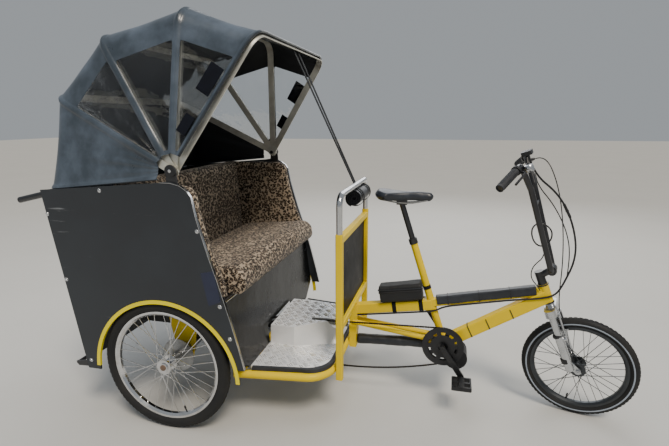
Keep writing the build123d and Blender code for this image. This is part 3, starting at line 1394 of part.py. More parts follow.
# Finished pieces, each turned with the bars or not, then moved to the origin and written
pieces = {
    "main_frame": main_frame.part,
    "seat_post": seat_post.part,
    "saddle": saddle.part,
    "motor": motor.part,
    "crankset": crankset.part,
    "pedal_right": pedal_right.part,
    "pedal_left": pedal_left.part,
    "drive_chain": drive_chain.part,
    "floor_frame": floor_frame.part,
    "floor_edging": floor_edging.part,
    "floor_plates": floor_plates.part,
    "floor_tunnel": floor_tunnel.part,
    "bulkhead_frame": bulkhead_frame.part,
    "bulkhead_panel": bulkhead_panel.part,
    "grab_rail": grab_rail.part,
    "apron_roll": apron_roll.part,
    "top_tube_pad": top_tube_pad.part,
    "lower_tube_pad": lower_tube_pad.part,
    "frame_bag": frame_bag.part,
    "side_panel_right": side_panel_right.part,
    "side_panel_left": side_panel_left.part,
    "arch_trims": arch_trims.part,
    "rear_panel": rear_panel.part,
    "kick_panel": kick_panel.part,
    "seat_deck": seat_deck.part,
    "seat_cushion": seat_cushion.part,
    "seat_back": seat_back.part,
    "side_pads": side_pads.part,
    "rear_chassis": rear_chassis.part,
    "rear_axle": rear_axle.part,
    "battery_box": battery_box.part,
    "rear_handles": rear_handles.part,
    "rear_bar": rear_bar.part,
    "rear_wheel_right": rear_wheel,
    "rear_tyre_right": rear_tyre,
    "rear_wheel_left": rear_wheel.mirror(Plane.XZ),
    "rear_tyre_left": rear_tyre.mirror(Plane.XZ),
    "hood_hinges": hood_hinges.part,
    "hood_straps": hood_straps.part,
    "frame_cables": frame_cables.part,
}
for number in range(1, len(HOOD)):
    pieces[f"hood_bow_{number}"] = hood_bow(number)
    pieces[f"hood_cloth_{number}"] = hood_cloth(number)
for number in WINDOWS:
    pieces[f"hood_window_{number}"] = hood_window(number)

steered_pieces = {
    "fork": fork.part,
    "handlebar": handlebar.part,
    "grips": grips.part,
    "bar_controls": bar_controls.part,
    "front_brake": front_brake.part,
    "brake_cables": brake_cables.part,
    "front_wheel": front_wheel,
    "front_tyre": front_tyre,
}
for name, piece in steered_pieces.items():
    pieces[name] = piece.moved(steered)

boxes = [piece.bounding_box() for piece in pieces.values()]
low_x = min(box.min.X for box in boxes)
high_x = max(box.max.X for box in boxes)
to_origin = Location((-(low_x + high_x) / 2, 0, 0))
for name, piece in pieces.items():
    placed = piece.moved(to_origin)
    placed.label = name
    export_step(placed, f"parts/{name}.step")
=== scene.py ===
"""Looks of a cycle rickshaw: passenger cab on two rear wheels, rider's frame and steered front wheel.

Places are written in millimetres from the middle of the rear axle, X forward, Y to the left and
Z up from the ground, as the solids are, and turned to metres by one function.
"""

from __future__ import annotations

import json
import logging
import math
from dataclasses import dataclass, field
from enum import Enum
from itertools import product
from typing import Callable, Iterable, Iterator, Sequence

import bmesh
import bpy
from mathutils import Matrix, Vector, noise

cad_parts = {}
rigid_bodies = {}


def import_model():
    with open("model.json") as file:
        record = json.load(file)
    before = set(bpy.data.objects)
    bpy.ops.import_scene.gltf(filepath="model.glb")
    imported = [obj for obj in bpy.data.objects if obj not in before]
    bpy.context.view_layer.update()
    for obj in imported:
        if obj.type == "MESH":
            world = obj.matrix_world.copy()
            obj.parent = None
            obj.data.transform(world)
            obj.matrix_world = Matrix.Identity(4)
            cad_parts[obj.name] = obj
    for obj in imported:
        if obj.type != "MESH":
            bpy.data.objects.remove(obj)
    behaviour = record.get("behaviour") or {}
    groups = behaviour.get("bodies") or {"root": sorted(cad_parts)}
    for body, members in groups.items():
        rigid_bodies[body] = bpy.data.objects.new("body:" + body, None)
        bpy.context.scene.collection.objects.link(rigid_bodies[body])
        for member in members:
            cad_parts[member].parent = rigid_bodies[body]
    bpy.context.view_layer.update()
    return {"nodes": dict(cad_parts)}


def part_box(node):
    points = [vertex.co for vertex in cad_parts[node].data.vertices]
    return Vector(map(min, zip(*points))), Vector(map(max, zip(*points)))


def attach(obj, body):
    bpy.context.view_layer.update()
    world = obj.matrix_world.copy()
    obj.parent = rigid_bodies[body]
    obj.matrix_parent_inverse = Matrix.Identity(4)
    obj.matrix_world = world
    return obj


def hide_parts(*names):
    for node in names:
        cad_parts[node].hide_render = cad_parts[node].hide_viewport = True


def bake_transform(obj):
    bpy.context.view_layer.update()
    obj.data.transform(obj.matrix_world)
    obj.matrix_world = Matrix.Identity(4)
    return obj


Triple = tuple[float, float, float]
Pair = tuple[float, float]
Route = tuple[Triple, ...]
Object = bpy.types.Object
Material = bpy.types.Material
Socket = bpy.types.NodeSocket
Tree = bpy.types.NodeTree
Surface = tuple[Socket, Socket, Socket]
LOG = logging.getLogger("rickshaw")
AXLE_X = -0.69795
ORIGIN, ACROSS, UPWARD = Vector((0, 0, 0)), Vector((0, 1, 0)), Vector((0, 0, 1))


def place(x: float, y: float, z: float) -> Vector:
    """A point given in millimetres from the rear axle, in metres of the shared frame."""
    return Vector((x / 1000.0 + AXLE_X, y / 1000.0, z / 1000.0))


def linear(code: str) -> tuple[float, float, float, float]:
    """An sRGB colour, six hex digits, as linear red, green and blue with an alpha of one."""
    parts = []
    for start in (0, 2, 4):
        value = int(code[start : start + 2], 16) / 255.0
        parts.append(value / 12.92 if value <= 0.04045 else ((value + 0.055) / 1.055) ** 2.4)
    return (parts[0], parts[1], parts[2], 1.0)


class Side(Enum):
    """The two sides of the vehicle, valued by the sign of Y."""

    RIGHT = -1
    LEFT = 1


class Body(Enum):
    """The bodies that pieces ride on."""

    VEHICLE = "vehicle"
    STEERING = "steering"
    FRONT_WHEEL = "front_wheel"
    RIGHT_WHEEL = "right_rear_wheel"
    LEFT_WHEEL = "left_rear_wheel"
    CRANK = "crank"
    RIGHT_PEDAL = "right_pedal"
    LEFT_PEDAL = "left_pedal"
    HOOD_1 = "hood_1"
    HOOD_2 = "hood_2"
    HOOD_3 = "hood_3"
    HOOD_4 = "hood_4"


class Bench:
    """Blender's modelling tools, used the way a hand would use them."""

    @staticmethod
    def clear() -> None:
        """Leaves nothing selected."""
        if bpy.context.mode != "OBJECT":
            bpy.ops.object.mode_set(mode="OBJECT")
        for obj in bpy.context.view_layer.objects.selected[:]:
            obj.select_set(False)

    @staticmethod
    def take(obj: Object) -> None:
        """Selects one object and makes it the active one."""
        Bench.clear()
        obj.select_set(True)
        bpy.context.view_layer.objects.active = obj

    @staticmethod
    def settle(obj: Object) -> Object:
        """Puts the object's place, turn and scale into its mesh."""
        Bench.take(obj)
        bpy.ops.object.transform_apply(location=True, rotation=True, scale=True)
        return obj

    @staticmethod
    def pick(obj: Object, test: Callable[[Vector, Vector], bool]) -> int:
        """Selects the faces whose centre and normal pass a test, in edit mode.

        Args:
            obj: the mesh object, which is left in edit mode.
            test: takes a face's centre and normal.

        Returns:
            How many faces are selected.
        """
        Bench.take(obj)
        bpy.ops.object.mode_set(mode="EDIT")
        bpy.ops.mesh.select_mode(type="FACE")
        bpy.ops.mesh.select_all(action="DESELECT")
        mesh = bmesh.from_edit_mesh(obj.data)
        count = 0
        for face in mesh.faces:
            if test(face.calc_center_median(), face.normal):
                face.select = True
                count += 1
        bmesh.update_edit_mesh(obj.data)
        return count

    @staticmethod
    def whole(obj: Object, work: Callable[..., object], **settings: object) -> Object:
        """Runs one edit mode operator, with its settings, on the whole of a mesh."""
        Bench.take(obj)
        bpy.ops.object.mode_set(mode="EDIT")
        bpy.ops.mesh.select_all(action="SELECT")
        work(**settings)
        bpy.ops.object.mode_set(mode="OBJECT")
        return obj

    @staticmethod
    def drop(*pieces: Object) -> None:
        """Deletes patterns that have been copied and aren't needed any more."""
        for piece in pieces:
            bpy.data.objects.remove(piece, do_unlink=True)

    @staticmethod
    def quad(name: str, corners: Iterable[Vector]) -> Object:
        """A flat face from a plane's four corners: two near ones, then two far ones."""
        Bench.clear()
        bpy.ops.mesh.primitive_plane_add(size=1.0, location=(0, 0, 0))
        obj = bpy.context.object
        obj.name = name
        for vertex, corner in zip(obj.data.vertices, corners):
            vertex.co = corner
        return obj

    @staticmethod
    def box(name: str, low: Vector, high: Vector) -> Object:
        """A box between two corners."""
        Bench.clear()
        bpy.ops.mesh.primitive_cube_add(size=1.0, location=(low + high) / 2)
        obj = bpy.context.object
        obj.name = name
        size = high - low
        obj.scale = (abs(size.x), abs(size.y), abs(size.z))
        return Bench.settle(obj)

    @staticmethod
    def rod(name: str, start: Vector, end: Vector, radius: float, sides: int = 24) -> Object:
        """A closed round bar between two points."""
        Bench.clear()
        axis = end - start
        bpy.ops.mesh.primitive_cylinder_add(
            vertices=sides,
            radius=radius,
            depth=axis.length,
            location=(start + end) / 2,
            rotation=axis.to_track_quat("Z", "Y").to_euler(),
        )
        obj = bpy.context.object
        obj.name = name
        return Bench.settle(obj)

    @staticmethod
    def lathe(name: str, profile: Sequence[Pair], centre: Vector, axis: Vector, steps: int = 48) -> Object:
        """A closed turned shape.

        Args:
            name: the new object's name.
            profile: closed loop of radius and height, in millimetres.
            centre: where height zero stands.
            axis: direction of growing height.
            steps: divisions round the axis.

        Returns:
            The turned object, in place.
        """
        Bench.clear()
        bpy.ops.mesh.primitive_circle_add(vertices=len(profile), radius=1.0, location=(0, 0, 0))
        obj = bpy.context.object
        obj.name = name
        for vertex, (radius, height) in zip(obj.data.vertices, profile):
            vertex.co = (radius / 1000, 0.0, height / 1000)
        bpy.ops.object.mode_set(mode="EDIT")
        bpy.ops.mesh.select_all(action="SELECT")
        bpy.ops.mesh.spin(steps=steps, angle=math.tau, center=(0, 0, 0), axis=(0, 0, 1))
        bpy.ops.mesh.select_all(action="SELECT")
        bpy.ops.mesh.remove_doubles(threshold=0.00002)
        bpy.ops.mesh.normals_make_consistent(inside=False)
        bpy.ops.object.mode_set(mode="OBJECT")
        obj.location = centre
        obj.rotation_euler = axis.to_track_quat("Z", "X").to_euler()
        return Bench.settle(obj)

    @staticmethod
    def tube(name: str, points: Sequence[Vector], radius: float, closed: bool = False) -> Object:
        """A round tube whose line is one smooth NURBS curve with these control points."""
        curve = bpy.data.curves.new(name, "CURVE")
        curve.dimensions = "3D"
        curve.resolution_u = 10
        curve.bevel_depth = radius
        curve.bevel_resolution = 3
        curve.use_fill_caps = True
        spline = curve.splines.new("NURBS")
        spline.points.add(len(points) - 1)
        for target, point in zip(spline.points, points):
            target.co = (*point, 1.0)
        spline.order_u = 3
        spline.use_endpoint_u = not closed
        spline.use_cyclic_u = closed
        obj = bpy.data.objects.new(name, curve)
        bpy.context.scene.collection.objects.link(obj)
        Bench.take(obj)
        bpy.ops.object.convert(target="MESH")
        return bpy.context.object

    @staticmethod
    def ribbon(name: str, points: Sequence[Vector], width: float, thickness: float) -> Object:
        """A flat strap that lies across the vehicle.

        Args:
            name: the new object's name.
            points: the middle line, two points or more.
            width: along Y, in metres.
            thickness: in metres.

        Returns:
            The strap with its thickness applied.
        """
        half = ACROSS * width / 2
        obj = Bench.quad(name, (points[0] - half, points[0] + half, points[1] - half, points[1] + half))
        bpy.ops.object.mode_set(mode="EDIT")
        bpy.ops.mesh.select_mode(type="EDGE")
        for last, new in zip(points[1:], points[2:]):
            mesh = bmesh.from_edit_mesh(obj.data)
            for edge in mesh.edges:
                middle = (edge.verts[0].co + edge.verts[1].co) / 2
                edge.select = (middle - last).length < 1e-6
            mesh.select_flush_mode()
            bmesh.update_edit_mesh(obj.data)
            bpy.ops.mesh.extrude_region_move(TRANSFORM_OT_translate={"value": new - last})
        bpy.ops.object.mode_set(mode="OBJECT")
        return Bench.modify(obj, "SOLIDIFY", thickness=thickness, offset=0.0)

    @staticmethod
    def modify(obj: Object, kind: str, **settings: object) -> Object:
        """Adds one modifier with its settings and applies it."""
        Bench.take(obj)
        modifier = obj.modifiers.new(kind.title(), kind)
        for key, value in settings.items():
            setattr(modifier, key, value)
        bpy.ops.object.modifier_apply(modifier=modifier.name)
        return obj

    @staticmethod
    def ease(obj: Object, width: float, segments: int = 2, angle: float = 30.0) -> Object:
        """Rounds the edges that are sharper than an angle."""
        limit = math.radians(angle)
        return Bench.modify(obj, "BEVEL", width=width, segments=segments, limit_method="ANGLE", angle_limit=limit)

    @staticmethod
    def smooth(obj: Object, angle: float = 35.0) -> Object:
        """Shades an object smooth, but for edges sharper than an angle."""
        Bench.take(obj)
        bpy.ops.object.shade_smooth_by_angle(angle=math.radians(angle))
        return obj

    @staticmethod
    def copy(obj: Object, name: str, matrix: Matrix) -> Object:
        """A copy with a mesh of its own, moved by a matrix that is put into its mesh."""
        new = obj.copy()
        new.data = obj.data.copy()
        new.name = name
        bpy.context.scene.collection.objects.link(new)
        new.data.transform(matrix)
        if matrix.determinant() < 0:
            new.data.flip_normals()
        return new

    @staticmethod
    def join(name: str, parts: Sequence[Object]) -> Object:
        """One object made of several."""
        Bench.take(parts[0])
        for part in parts[1:]:
            part.select_set(True)
        if len(parts) > 1:
            bpy.ops.object.join()
        parts[0].name = name
        parts[0].data.name = name
        return parts[0]

    @staticmethod
    def band(
        name: str, source: Object, point: Vector, way: Vector, width: float, thickness: float, reach: float
    ) -> Object:
        """A band that hugs a solid: a slice of its surface, thickened outwards.

        Args:
            name: the new object's name.
            source: the object that the band goes round.
            point: middle of the band.
            way: direction square to the band's plane.
            width: along that direction, in metres.
            thickness: in metres.
            reach: faces whose centre is further than this from the point are left out.

        Returns:
            The band.
        """
        piece = Bench.from_solid(name, source)
        way = way.normalized()
        for shift, outer in ((width / 2, True), (-width / 2, False)):
            cut = {"plane_co": point + way * shift, "plane_no": way, "clear_outer": outer, "clear_inner": not outer}
            Bench.whole(piece, bpy.ops.mesh.bisect, use_fill=False, **cut)
        Bench.pick(piece, lambda centre, normal: (centre - point).length > reach)
        bpy.ops.mesh.delete(type="FACE")
        bpy.ops.object.mode_set(mode="OBJECT")
        return Bench.modify(piece, "SOLIDIFY", thickness=thickness, offset=1.0, use_even_offset=True)

    @staticmethod
    def ruffle(obj: Object, height: Callable[[Vector], float]) -> Object:
        """Moves each vertex along its normal by a height that depends on its place."""
        moves = [(vertex.co.copy(), vertex.normal.copy()) for vertex in obj.data.vertices]
        for vertex, (spot, normal) in zip(obj.data.vertices, moves):
            vertex.co = spot + normal * height(spot)
        return obj

    @staticmethod
    def from_solid(name: str, source: Object) -> Object:
        """A merged copy of a solid's mesh, to be worked on."""
        new = source.copy()
        new.data = source.data.copy()
        new.name = name
        new.parent = None
        new.matrix_world = Matrix.Identity(4)
        new.hide_render = False
        new.hide_viewport = False
        for key in list(new.keys()):
            del new[key]
        bpy.context.scene.collection.objects.link(new)
        new.data.materials.clear()
        return Bench.whole(new, bpy.ops.mesh.remove_doubles, threshold=0.00005)


def add_node(
    tree: Tree, kind: str, inputs: dict[str | int, object] | None = None, output: str | int = 0, **settings: object
) -> Socket | None:
    """Adds a node, sets it up and links it.

    Args:
        tree: the node tree of a material.
        kind: the node's type name without its prefix ShaderNode.
        inputs: sockets by name or number, each a value or the output socket to link to it.
        output: name or number of the output that is wanted.
        settings: attributes of the node.

    Returns:
        That output socket, or None for a node that has no output.
    """
    node = tree.nodes.new("ShaderNode" + kind)
    for key, value in settings.items():
        setattr(node, key, value)
    for key, value in (inputs or {}).items():
        if isinstance(value, Socket):
            tree.links.new(value, node.inputs[key])
        else:
            node.inputs[key].default_value = value
    return node.outputs[output] if len(node.outputs) else None


@dataclass(frozen=True)
class Finish:
    """A surface: its colour, how it varies, how it shines and how rough it feels.

    Sizes are in millimetres. The base class is a plain surface with soft patches of a second
    colour and a fine grain, and each named kind adds the pattern of its own material.
    """

    name: str
    colour: str
    patches: str
    patch_size: float = 90.0
    patch_share: float = 0.5
    roughness: float = 0.5
    roughness_spread: float = 0.12
    metallic: float = 0.0
    grain: float = 2.0
    relief: float = 0.05
    coat: float = 0.0
    sheen: float = 0.0
    specular: float = 0.5

    def pattern(self, tree: Tree, where: Socket) -> Surface:
        """The colour, the roughness and the height of this surface.

        Args:
            tree: the material's node tree.
            where: object coordinates, in metres.

        Returns:
            Three output sockets.
        """
        cloud = {"Vector": where, "Scale": 1000.0 / self.patch_size, "Detail": 6.0, "Roughness": 0.62}
        broad = add_node(tree, "TexNoise", cloud)
        edges = {"Value": broad, "From Min": 0.42, "From Max": 0.72, "To Min": 0.0, "To Max": self.patch_share}
        share = add_node(tree, "MapRange", edges)
        low = max(0.02, self.roughness - self.roughness_spread)
        high = min(1.0, self.roughness + self.roughness_spread)
        span = {"Value": broad, "From Min": 0.3, "From Max": 0.7, "To Min": low, "To Max": high}
        rough = add_node(tree, "MapRange", span)
        speck = {"Vector": where, "Scale": 1000.0 / self.grain, "Detail": 3.0, "Roughness": 0.6}
        mix = {0: share, 6: linear(self.colour), 7: linear(self.patches)}
        return add_node(tree, "Mix", mix, 2, data_type="RGBA"), rough, add_node(tree, "TexNoise", speck)

    def build(self) -> Material:
        """The finished material."""
        material = bpy.data.materials.new(self.name)
        material.use_nodes = True
        tree = material.node_tree
        tree.nodes.clear()
        colour, rough, height = self.pattern(tree, add_node(tree, "TexCoord", output="Object"))
        bump = add_node(tree, "Bump", {"Height": height, "Strength": 1.0, "Distance": self.relief / 1000.0})
        look = {
            "Base Color": colour,
            "Roughness": rough,
            "Normal": bump,
            "Metallic": self.metallic,
            "Coat Weight": self.coat,
            "Coat Roughness": 0.08,
            "Sheen Weight": self.sheen,
            "Specular IOR Level": self.specular,
        }
        add_node(tree, "OutputMaterial", {"Surface": add_node(tree, "BsdfPrincipled", look | self.special())})
        return material

    def special(self) -> dict[str, float]:
        """Settings of the shader that only this kind has."""
        return {}


@dataclass(frozen=True)
class Scuffed(Finish):
    """A sheet with long shallow scratches along X and rubbed places."""

    scratch: str = "8C9094"
    scratch_pitch: float = 46.0

    def pattern(self, tree: Tree, where: Socket) -> Surface:
        """Patches and grain, with thin pale lines drawn over them."""
        colour, rough, height = super().pattern(tree, where)
        drawn = add_node(tree, "Mapping", {"Vector": where, "Scale": (1.2, 6.0, 1000.0 / self.scratch_pitch)})
        lines = add_node(tree, "TexNoise", {"Vector": drawn, "Scale": 1.6, "Detail": 9.0, "Roughness": 0.72})
        edges = {"Value": lines, "From Min": 0.655, "From Max": 0.70, "To Min": 0.0, "To Max": 0.5}
        mix = {0: add_node(tree, "MapRange", edges), 6: colour, 7: linear(self.scratch)}
        return add_node(tree, "Mix", mix, 2, data_type="RGBA"), rough, height


@dataclass(frozen=True)
class Brushed(Finish):
    """Metal with the fine parallel marks of brushing or rolling."""

    direction: Triple = (1.0, 14.0, 14.0)

    def pattern(self, tree: Tree, where: Socket) -> Surface:
        """Patches, with grain drawn out along one direction."""
        colour, rough, _ = super().pattern(tree, where)
        drawn = add_node(tree, "Mapping", {"Vector": where, "Scale": self.direction})
        marks = {"Vector": drawn, "Scale": 1000.0 / (self.grain * 14.0), "Detail": 5.0, "Roughness": 0.7}
        return colour, rough, add_node(tree, "TexNoise", marks)


@dataclass(frozen=True)
class Spotted(Finish):
    """Short pile fabric printed with broken rings round a darker middle."""

    spot: float = 25.0
    ring: str = "0D0907"
    middle: str = "4A3323"

    def pattern(self, tree: Tree, where: Socket) -> Surface:
        """Rings from a cell pattern whose cells are bent and broken by noise."""
        base, rough, _ = super().pattern(tree, where)
        noise_in = {"Vector": where, "Scale": 1000.0 / (self.spot * 0.75), "Detail": 2.0}
        bend = add_node(tree, "TexNoise", noise_in, 1)
        offset = add_node(tree, "VectorMath", {0: bend, 1: (0.5, 0.5, 0.5)}, operation="SUBTRACT")
        moved = add_node(tree, "VectorMath", {0: offset, 3: self.spot / 1000.0 * 0.5}, operation="SCALE")
        bent = add_node(tree, "VectorMath", {0: where, 1: moved}, operation="ADD")
        rings_in = {"Vector": bent, "Scale": 1000.0 / self.spot, "Randomness": 0.85}
        cells = add_node(tree, "TexVoronoi", rings_in, feature="F1")
        breaks = add_node(tree, "TexNoise", {"Vector": where, "Scale": 1000.0 / (self.spot * 0.42), "Detail": 1.0})
        rows = (
            # what is read, where it starts and ends, the values there
            (cells, 0.56, 0.61, 1.0, 0.0),
            (cells, 0.20, 0.26, 0.0, 1.0),
            (breaks, 0.34, 0.40, 0.0, 1.0),
            (cells, 0.22, 0.28, 0.85, 0.0),
        )
        names = ("Value", "From Min", "From Max", "To Min", "To Max")
        outer, inner, gaps, core = (add_node(tree, "MapRange", dict(zip(names, row))) for row in rows)
        band = add_node(tree, "Math", {0: outer, 1: inner}, operation="MULTIPLY")
        broken = add_node(tree, "Math", {0: band, 1: gaps}, operation="MULTIPLY")
        filled = add_node(tree, "Mix", {0: core, 6: base, 7: linear(self.middle)}, 2, data_type="RGBA")
        ringed = add_node(tree, "Mix", {0: broken, 6: filled, 7: linear(self.ring)}, 2, data_type="RGBA")
        pile = {"Vector": where, "Scale": 1000.0 / self.grain, "Detail": 4.0, "Roughness": 0.7}
        return ringed, rough, add_node(tree, "TexNoise", pile)


@dataclass(frozen=True)
class Woven(Finish):
    """Cloth or webbing with crossing threads at a real pitch."""

    thread: float = 2.4

    def pattern(self, tree: Tree, where: Socket) -> Surface:
        """Patches under two crossing sets of threads."""
        colour, rough, _ = super().pattern(tree, where)
        wave = {"Vector": where, "Scale": 1000.0 / self.thread / 6.283, "Distortion": 0.6}
        warp, weft = (add_node(tree, "TexWave", wave, 1, bands_direction=way) for way in "XZ")
        return colour, rough, add_node(tree, "Math", {0: warp, 1: weft}, operation="MAXIMUM")


@dataclass(frozen=True)
class Grained(Finish):
    """Coated cloth with a pressed leather grain, dusty in broad soft patches."""

    pebble: float = 3.0

    def pattern(self, tree: Tree, where: Socket) -> Surface:
        """Patches over a cell pattern of small pebbles and slow waves in the cloth."""
        colour, rough, _ = super().pattern(tree, where)
        cells = {"Vector": where, "Scale": 1000.0 / self.pebble}
        pebbles = add_node(tree, "TexVoronoi", cells, feature="SMOOTH_F1")
        waves = add_node(tree, "TexNoise", {"Vector": where, "Scale": 11.0, "Detail": 2.0})
        both = add_node(tree, "Math", {0: waves, 1: 14.0, 2: pebbles}, operation="MULTIPLY_ADD")
        return colour, rough, both


@dataclass(frozen=True)
class Clear(Finish):
    """Clear flexible film with slow waves that bend its reflections."""

    index: float = 1.4
    haze: float = 0.45

    def special(self) -> dict[str, float]:
        """Lets light through, most of it unbent as in a thin film."""
        return {"Transmission Weight": 1.0, "IOR": self.index, "Alpha": self.haze}


@dataclass(frozen=True)
class Planked(Finish):
    """Birch plywood: pale with long drawn grain."""

    def pattern(self, tree: Tree, where: Socket) -> Surface:
        """Rings of growth, drawn out along Y."""
        _, rough, height = super().pattern(tree, where)
        drawn = add_node(tree, "Mapping", {"Vector": where, "Scale": (9.0, 0.8, 9.0)})
        rings = add_node(tree, "TexNoise", {"Vector": drawn, "Scale": 3.0, "Detail": 8.0, "Distortion": 1.2})
        mix = {0: rings, 6: linear(self.colour), 7: linear(self.patches)}
        return add_node(tree, "Mix", mix, 2, data_type="RGBA"), rough, height


# Powder-coated steel tube: a thick glossy film whose slight ripple softens every highlight.
YELLOW_PAINT = Finish(
    "powder_coat_yellow", "DEC000", "CBAA00", 240.0, 0.35, 0.46, 0.06, 0.0, 6.0, 0.03, coat=0.06, specular=0.22
)
# Extruded PVC edge trim: brighter and flatter than the paint beside it.
YELLOW_TRIM = Finish("pvc_trim_yellow", "E4D200", "D0BE00", 120.0, 0.35, 0.42, 0.08, 0.0, 3.0, 0.03)
# Stove-enamelled black: satin, a little dusty.
BLACK_ENAMEL = Finish("enamel_black", "15161A", "2A2B2E", 80.0, 0.5, 0.34, 0.10, 0.0, 2.5, 0.03, coat=0.3)
# Composite sheet: charcoal with a matt skin, rubbed and scratched along its length.
PANEL_SHEET = Scuffed("composite_sheet_charcoal", "21252A", "2B3035", 260.0, 0.7, 0.46, 0.10, 0.0, 2.4, 0.04)
# Thermoformed ABS sheet: near mirror black, gently buckled, so that reflections swim.
KICK_SHEET = Scuffed(
    "abs_sheet_black", "090A0B", "121415", 170.0, 0.6, 0.24, 0.06, 0.0, 160.0, 3.0, specular=0.3, scratch_pitch=70.0
)
# Sheet of the bulkhead: flat black acrylic, dull from cleaning.
BULKHEAD_SHEET = Scuffed(
    "acrylic_sheet_black", "0B0C0E", "141619", 200.0, 0.6, 0.55, 0.10, 0.0, 3.0, 0.04, specular=0.15
)
# Five-bar aluminium tread plate: bright rolled metal, greyed where feet go.
TREAD_PLATE = Brushed("aluminium_tread_plate", "E9EAEB", "CDD0D2", 120.0, 0.5, 0.42, 0.08, 0.45, 3.0, 0.03)
# Worn rubber and metal edge strip: dark and dirty.
EDGE_STRIP = Finish("edging_rubber_black", "1E2126", "3A3D42", 60.0, 0.6, 0.60, 0.12, 0.0, 2.5, 0.08)
# Polished stainless tube: almost a mirror, with fine drawn marks.
POLISHED_TUBE = Brushed("stainless_steel_polished", "D6D7D9", "A9ABAE", 90.0, 0.5, 0.17, 0.07, 1.0, 2.0, 0.02)
# Chromed rims and spokes: bright, with a little brown bloom.
CHROME = Brushed("chromed_steel", "DADBDD", "A39C92", 45.0, 0.4, 0.15, 0.08, 1.0, 2.0, 0.02)
# Anodised grey rim: darker and more matt than chrome.
GREY_RIM = Brushed("anodised_aluminium_grey", "4A4D50", "35373A", 50.0, 0.5, 0.34, 0.08, 0.9, 2.0, 0.03)
# Lacquered aluminium of the fork: silver, soft highlights.
SILVER = Brushed("lacquered_aluminium_silver", "C6C8CB", "9DA0A3", 70.0, 0.5, 0.24, 0.08, 0.95, 2.0, 0.02, coat=0.3)
# Extruded aluminium of the hood's bows: dull, weathered, faintly warm.
BOW_METAL = Brushed("mill_aluminium", "DAD8CE", "ABA99F", 60.0, 0.6, 0.46, 0.10, 0.85, 2.0, 0.05)
# Zinc-plated steel of hinges, axle and brackets.
ZINC = Finish("zinc_plated_steel", "9A9C9E", "6F6C66", 30.0, 0.6, 0.36, 0.12, 0.95, 1.5, 0.04)
# Oiled chain steel: dark, with brown in the joints.
CHAIN_STEEL = Finish("oiled_chain_steel", "3A3631", "1D1A17", 14.0, 0.7, 0.40, 0.12, 0.9, 1.2, 0.05)
# Forged crank alloy, painted black, with brighter rubbed patches.
CRANK_BLACK = Finish("painted_alloy_black", "1A1B1E", "3B3C3F", 40.0, 0.4, 0.32, 0.10, 0.3, 2.0, 0.03, coat=0.2)
# Cast motor housing: sand-cast texture under matt paint.
MOTOR_CAST = Finish("cast_alloy_black", "191A1D", "2B2C2F", 50.0, 0.5, 0.52, 0.10, 0.2, 1.8, 0.12)
# Moulded nylon of pedals, levers and controls.
NYLON = Finish("moulded_nylon_black", "141518", "26272A", 40.0, 0.5, 0.46, 0.10, 0.0, 1.6, 0.06)
# Tyre rubber: deep grey, chalky with road dust.
RUBBER = Finish("vulcanised_rubber", "18191B", "302F2C", 110.0, 0.6, 0.72, 0.10, 0.0, 2.2, 0.10, specular=0.35)
# Reflective band of the tyre's side wall: pale satin film.
REFLECTIVE = Finish("reflective_band", "9FA8B4", "7C8590", 60.0, 0.5, 0.36, 0.08, 0.2, 2.0, 0.03)
# Grips: soft rubber, finely ribbed by its geometry.
GRIP_RUBBER = Finish("grip_rubber", "23252A", "3A3C40", 30.0, 0.6, 0.62, 0.10, 0.0, 1.6, 0.10)
# PVC-coated polyester of the hood: blue-grey, grained, with dusty patches and soft gloss.
HOOD_CLOTH = Grained(
    "pvc_coated_polyester", "313A43", "5A6675", 210.0, 0.75, 0.34, 0.10, 0.0, 3.0, 0.30, coat=0.14, pebble=3.2
)
# The same cloth where it is sewn double: piping and hems.
HOOD_PIPING = Grained(
    "pvc_piping", "1E242B", "353D47", 120.0, 0.6, 0.34, 0.08, 0.0, 2.4, 0.22, coat=0.14, pebble=2.6
)
# Clear vinyl window: transparent, wavy, a little scratched.
WINDOW_FILM = Clear("clear_vinyl_film", "E9EEF0", "D9E0E2", 140.0, 0.6, 0.06, 0.04, 0.0, 120.0, 5.0)
# Vinyl of the rolled apron and the bag's top.
ROLL_VINYL = Grained("apron_vinyl", "1B1E23", "30343A", 90.0, 0.6, 0.44, 0.10, 0.0, 2.5, 0.25, pebble=2.8)
# Wrapped pads of the frame tubes: smooth black vinyl over foam.
PAD_VINYL = Grained("pad_vinyl", "1C1F25", "343940", 70.0, 0.6, 0.40, 0.10, 0.0, 2.0, 0.18, pebble=2.2)
# Ballistic nylon of the bag: plain weave, 1.2 mm threads drawn at 2 mm so that they show.
BAG_CLOTH = Woven(
    "ballistic_nylon", "0E1013", "1B1E22", 60.0, 0.6, 0.66, 0.08, 0.0, 1.5, 0.10, sheen=0.05, thread=2.0
)
# Inner face of the hood's cloth: a darker, matt copy of the cloth, as painted shade under the hood.
HOOD_UNDERSIDE_SHADE = Finish("hood_underside_painted_shade", "14171C", "22262C", 160.0, 0.6, 0.60, 0.08, 0.0, 2.2, 0.12)
# Film stuck on the side panel: plain navy, satin.
NAVY_FILM = Finish("vinyl_film_navy", "1B2138", "262D47", 60.0, 0.5, 0.32, 0.08, 0.0, 2.0, 0.02)
# The raised bars of the tread plate: the same metal, rubbed brighter on top.
TREAD_BARS = Brushed("aluminium_tread_bars", "F6F7F8", "D8DADC", 50.0, 0.5, 0.24, 0.08, 0.8, 2.0, 0.02)
# Hook-and-loop pads on the front bow: deep navy pile.
NAVY_PILE = Woven(
    "hook_and_loop_navy", "0C0F18", "151A26", 40.0, 0.5, 0.92, 0.04, 0.0, 1.5, 0.10, specular=0.2, thread=2.2
)
# Polyester webbing: ribbed across at 1.5 mm, drawn at 2.4 mm so that it shows.
WEBBING = Woven(
    "polyester_webbing", "0F1114", "1D2024", 50.0, 0.5, 0.80, 0.06, 0.0, 1.5, 0.05, specular=0.25, thread=2.4
)
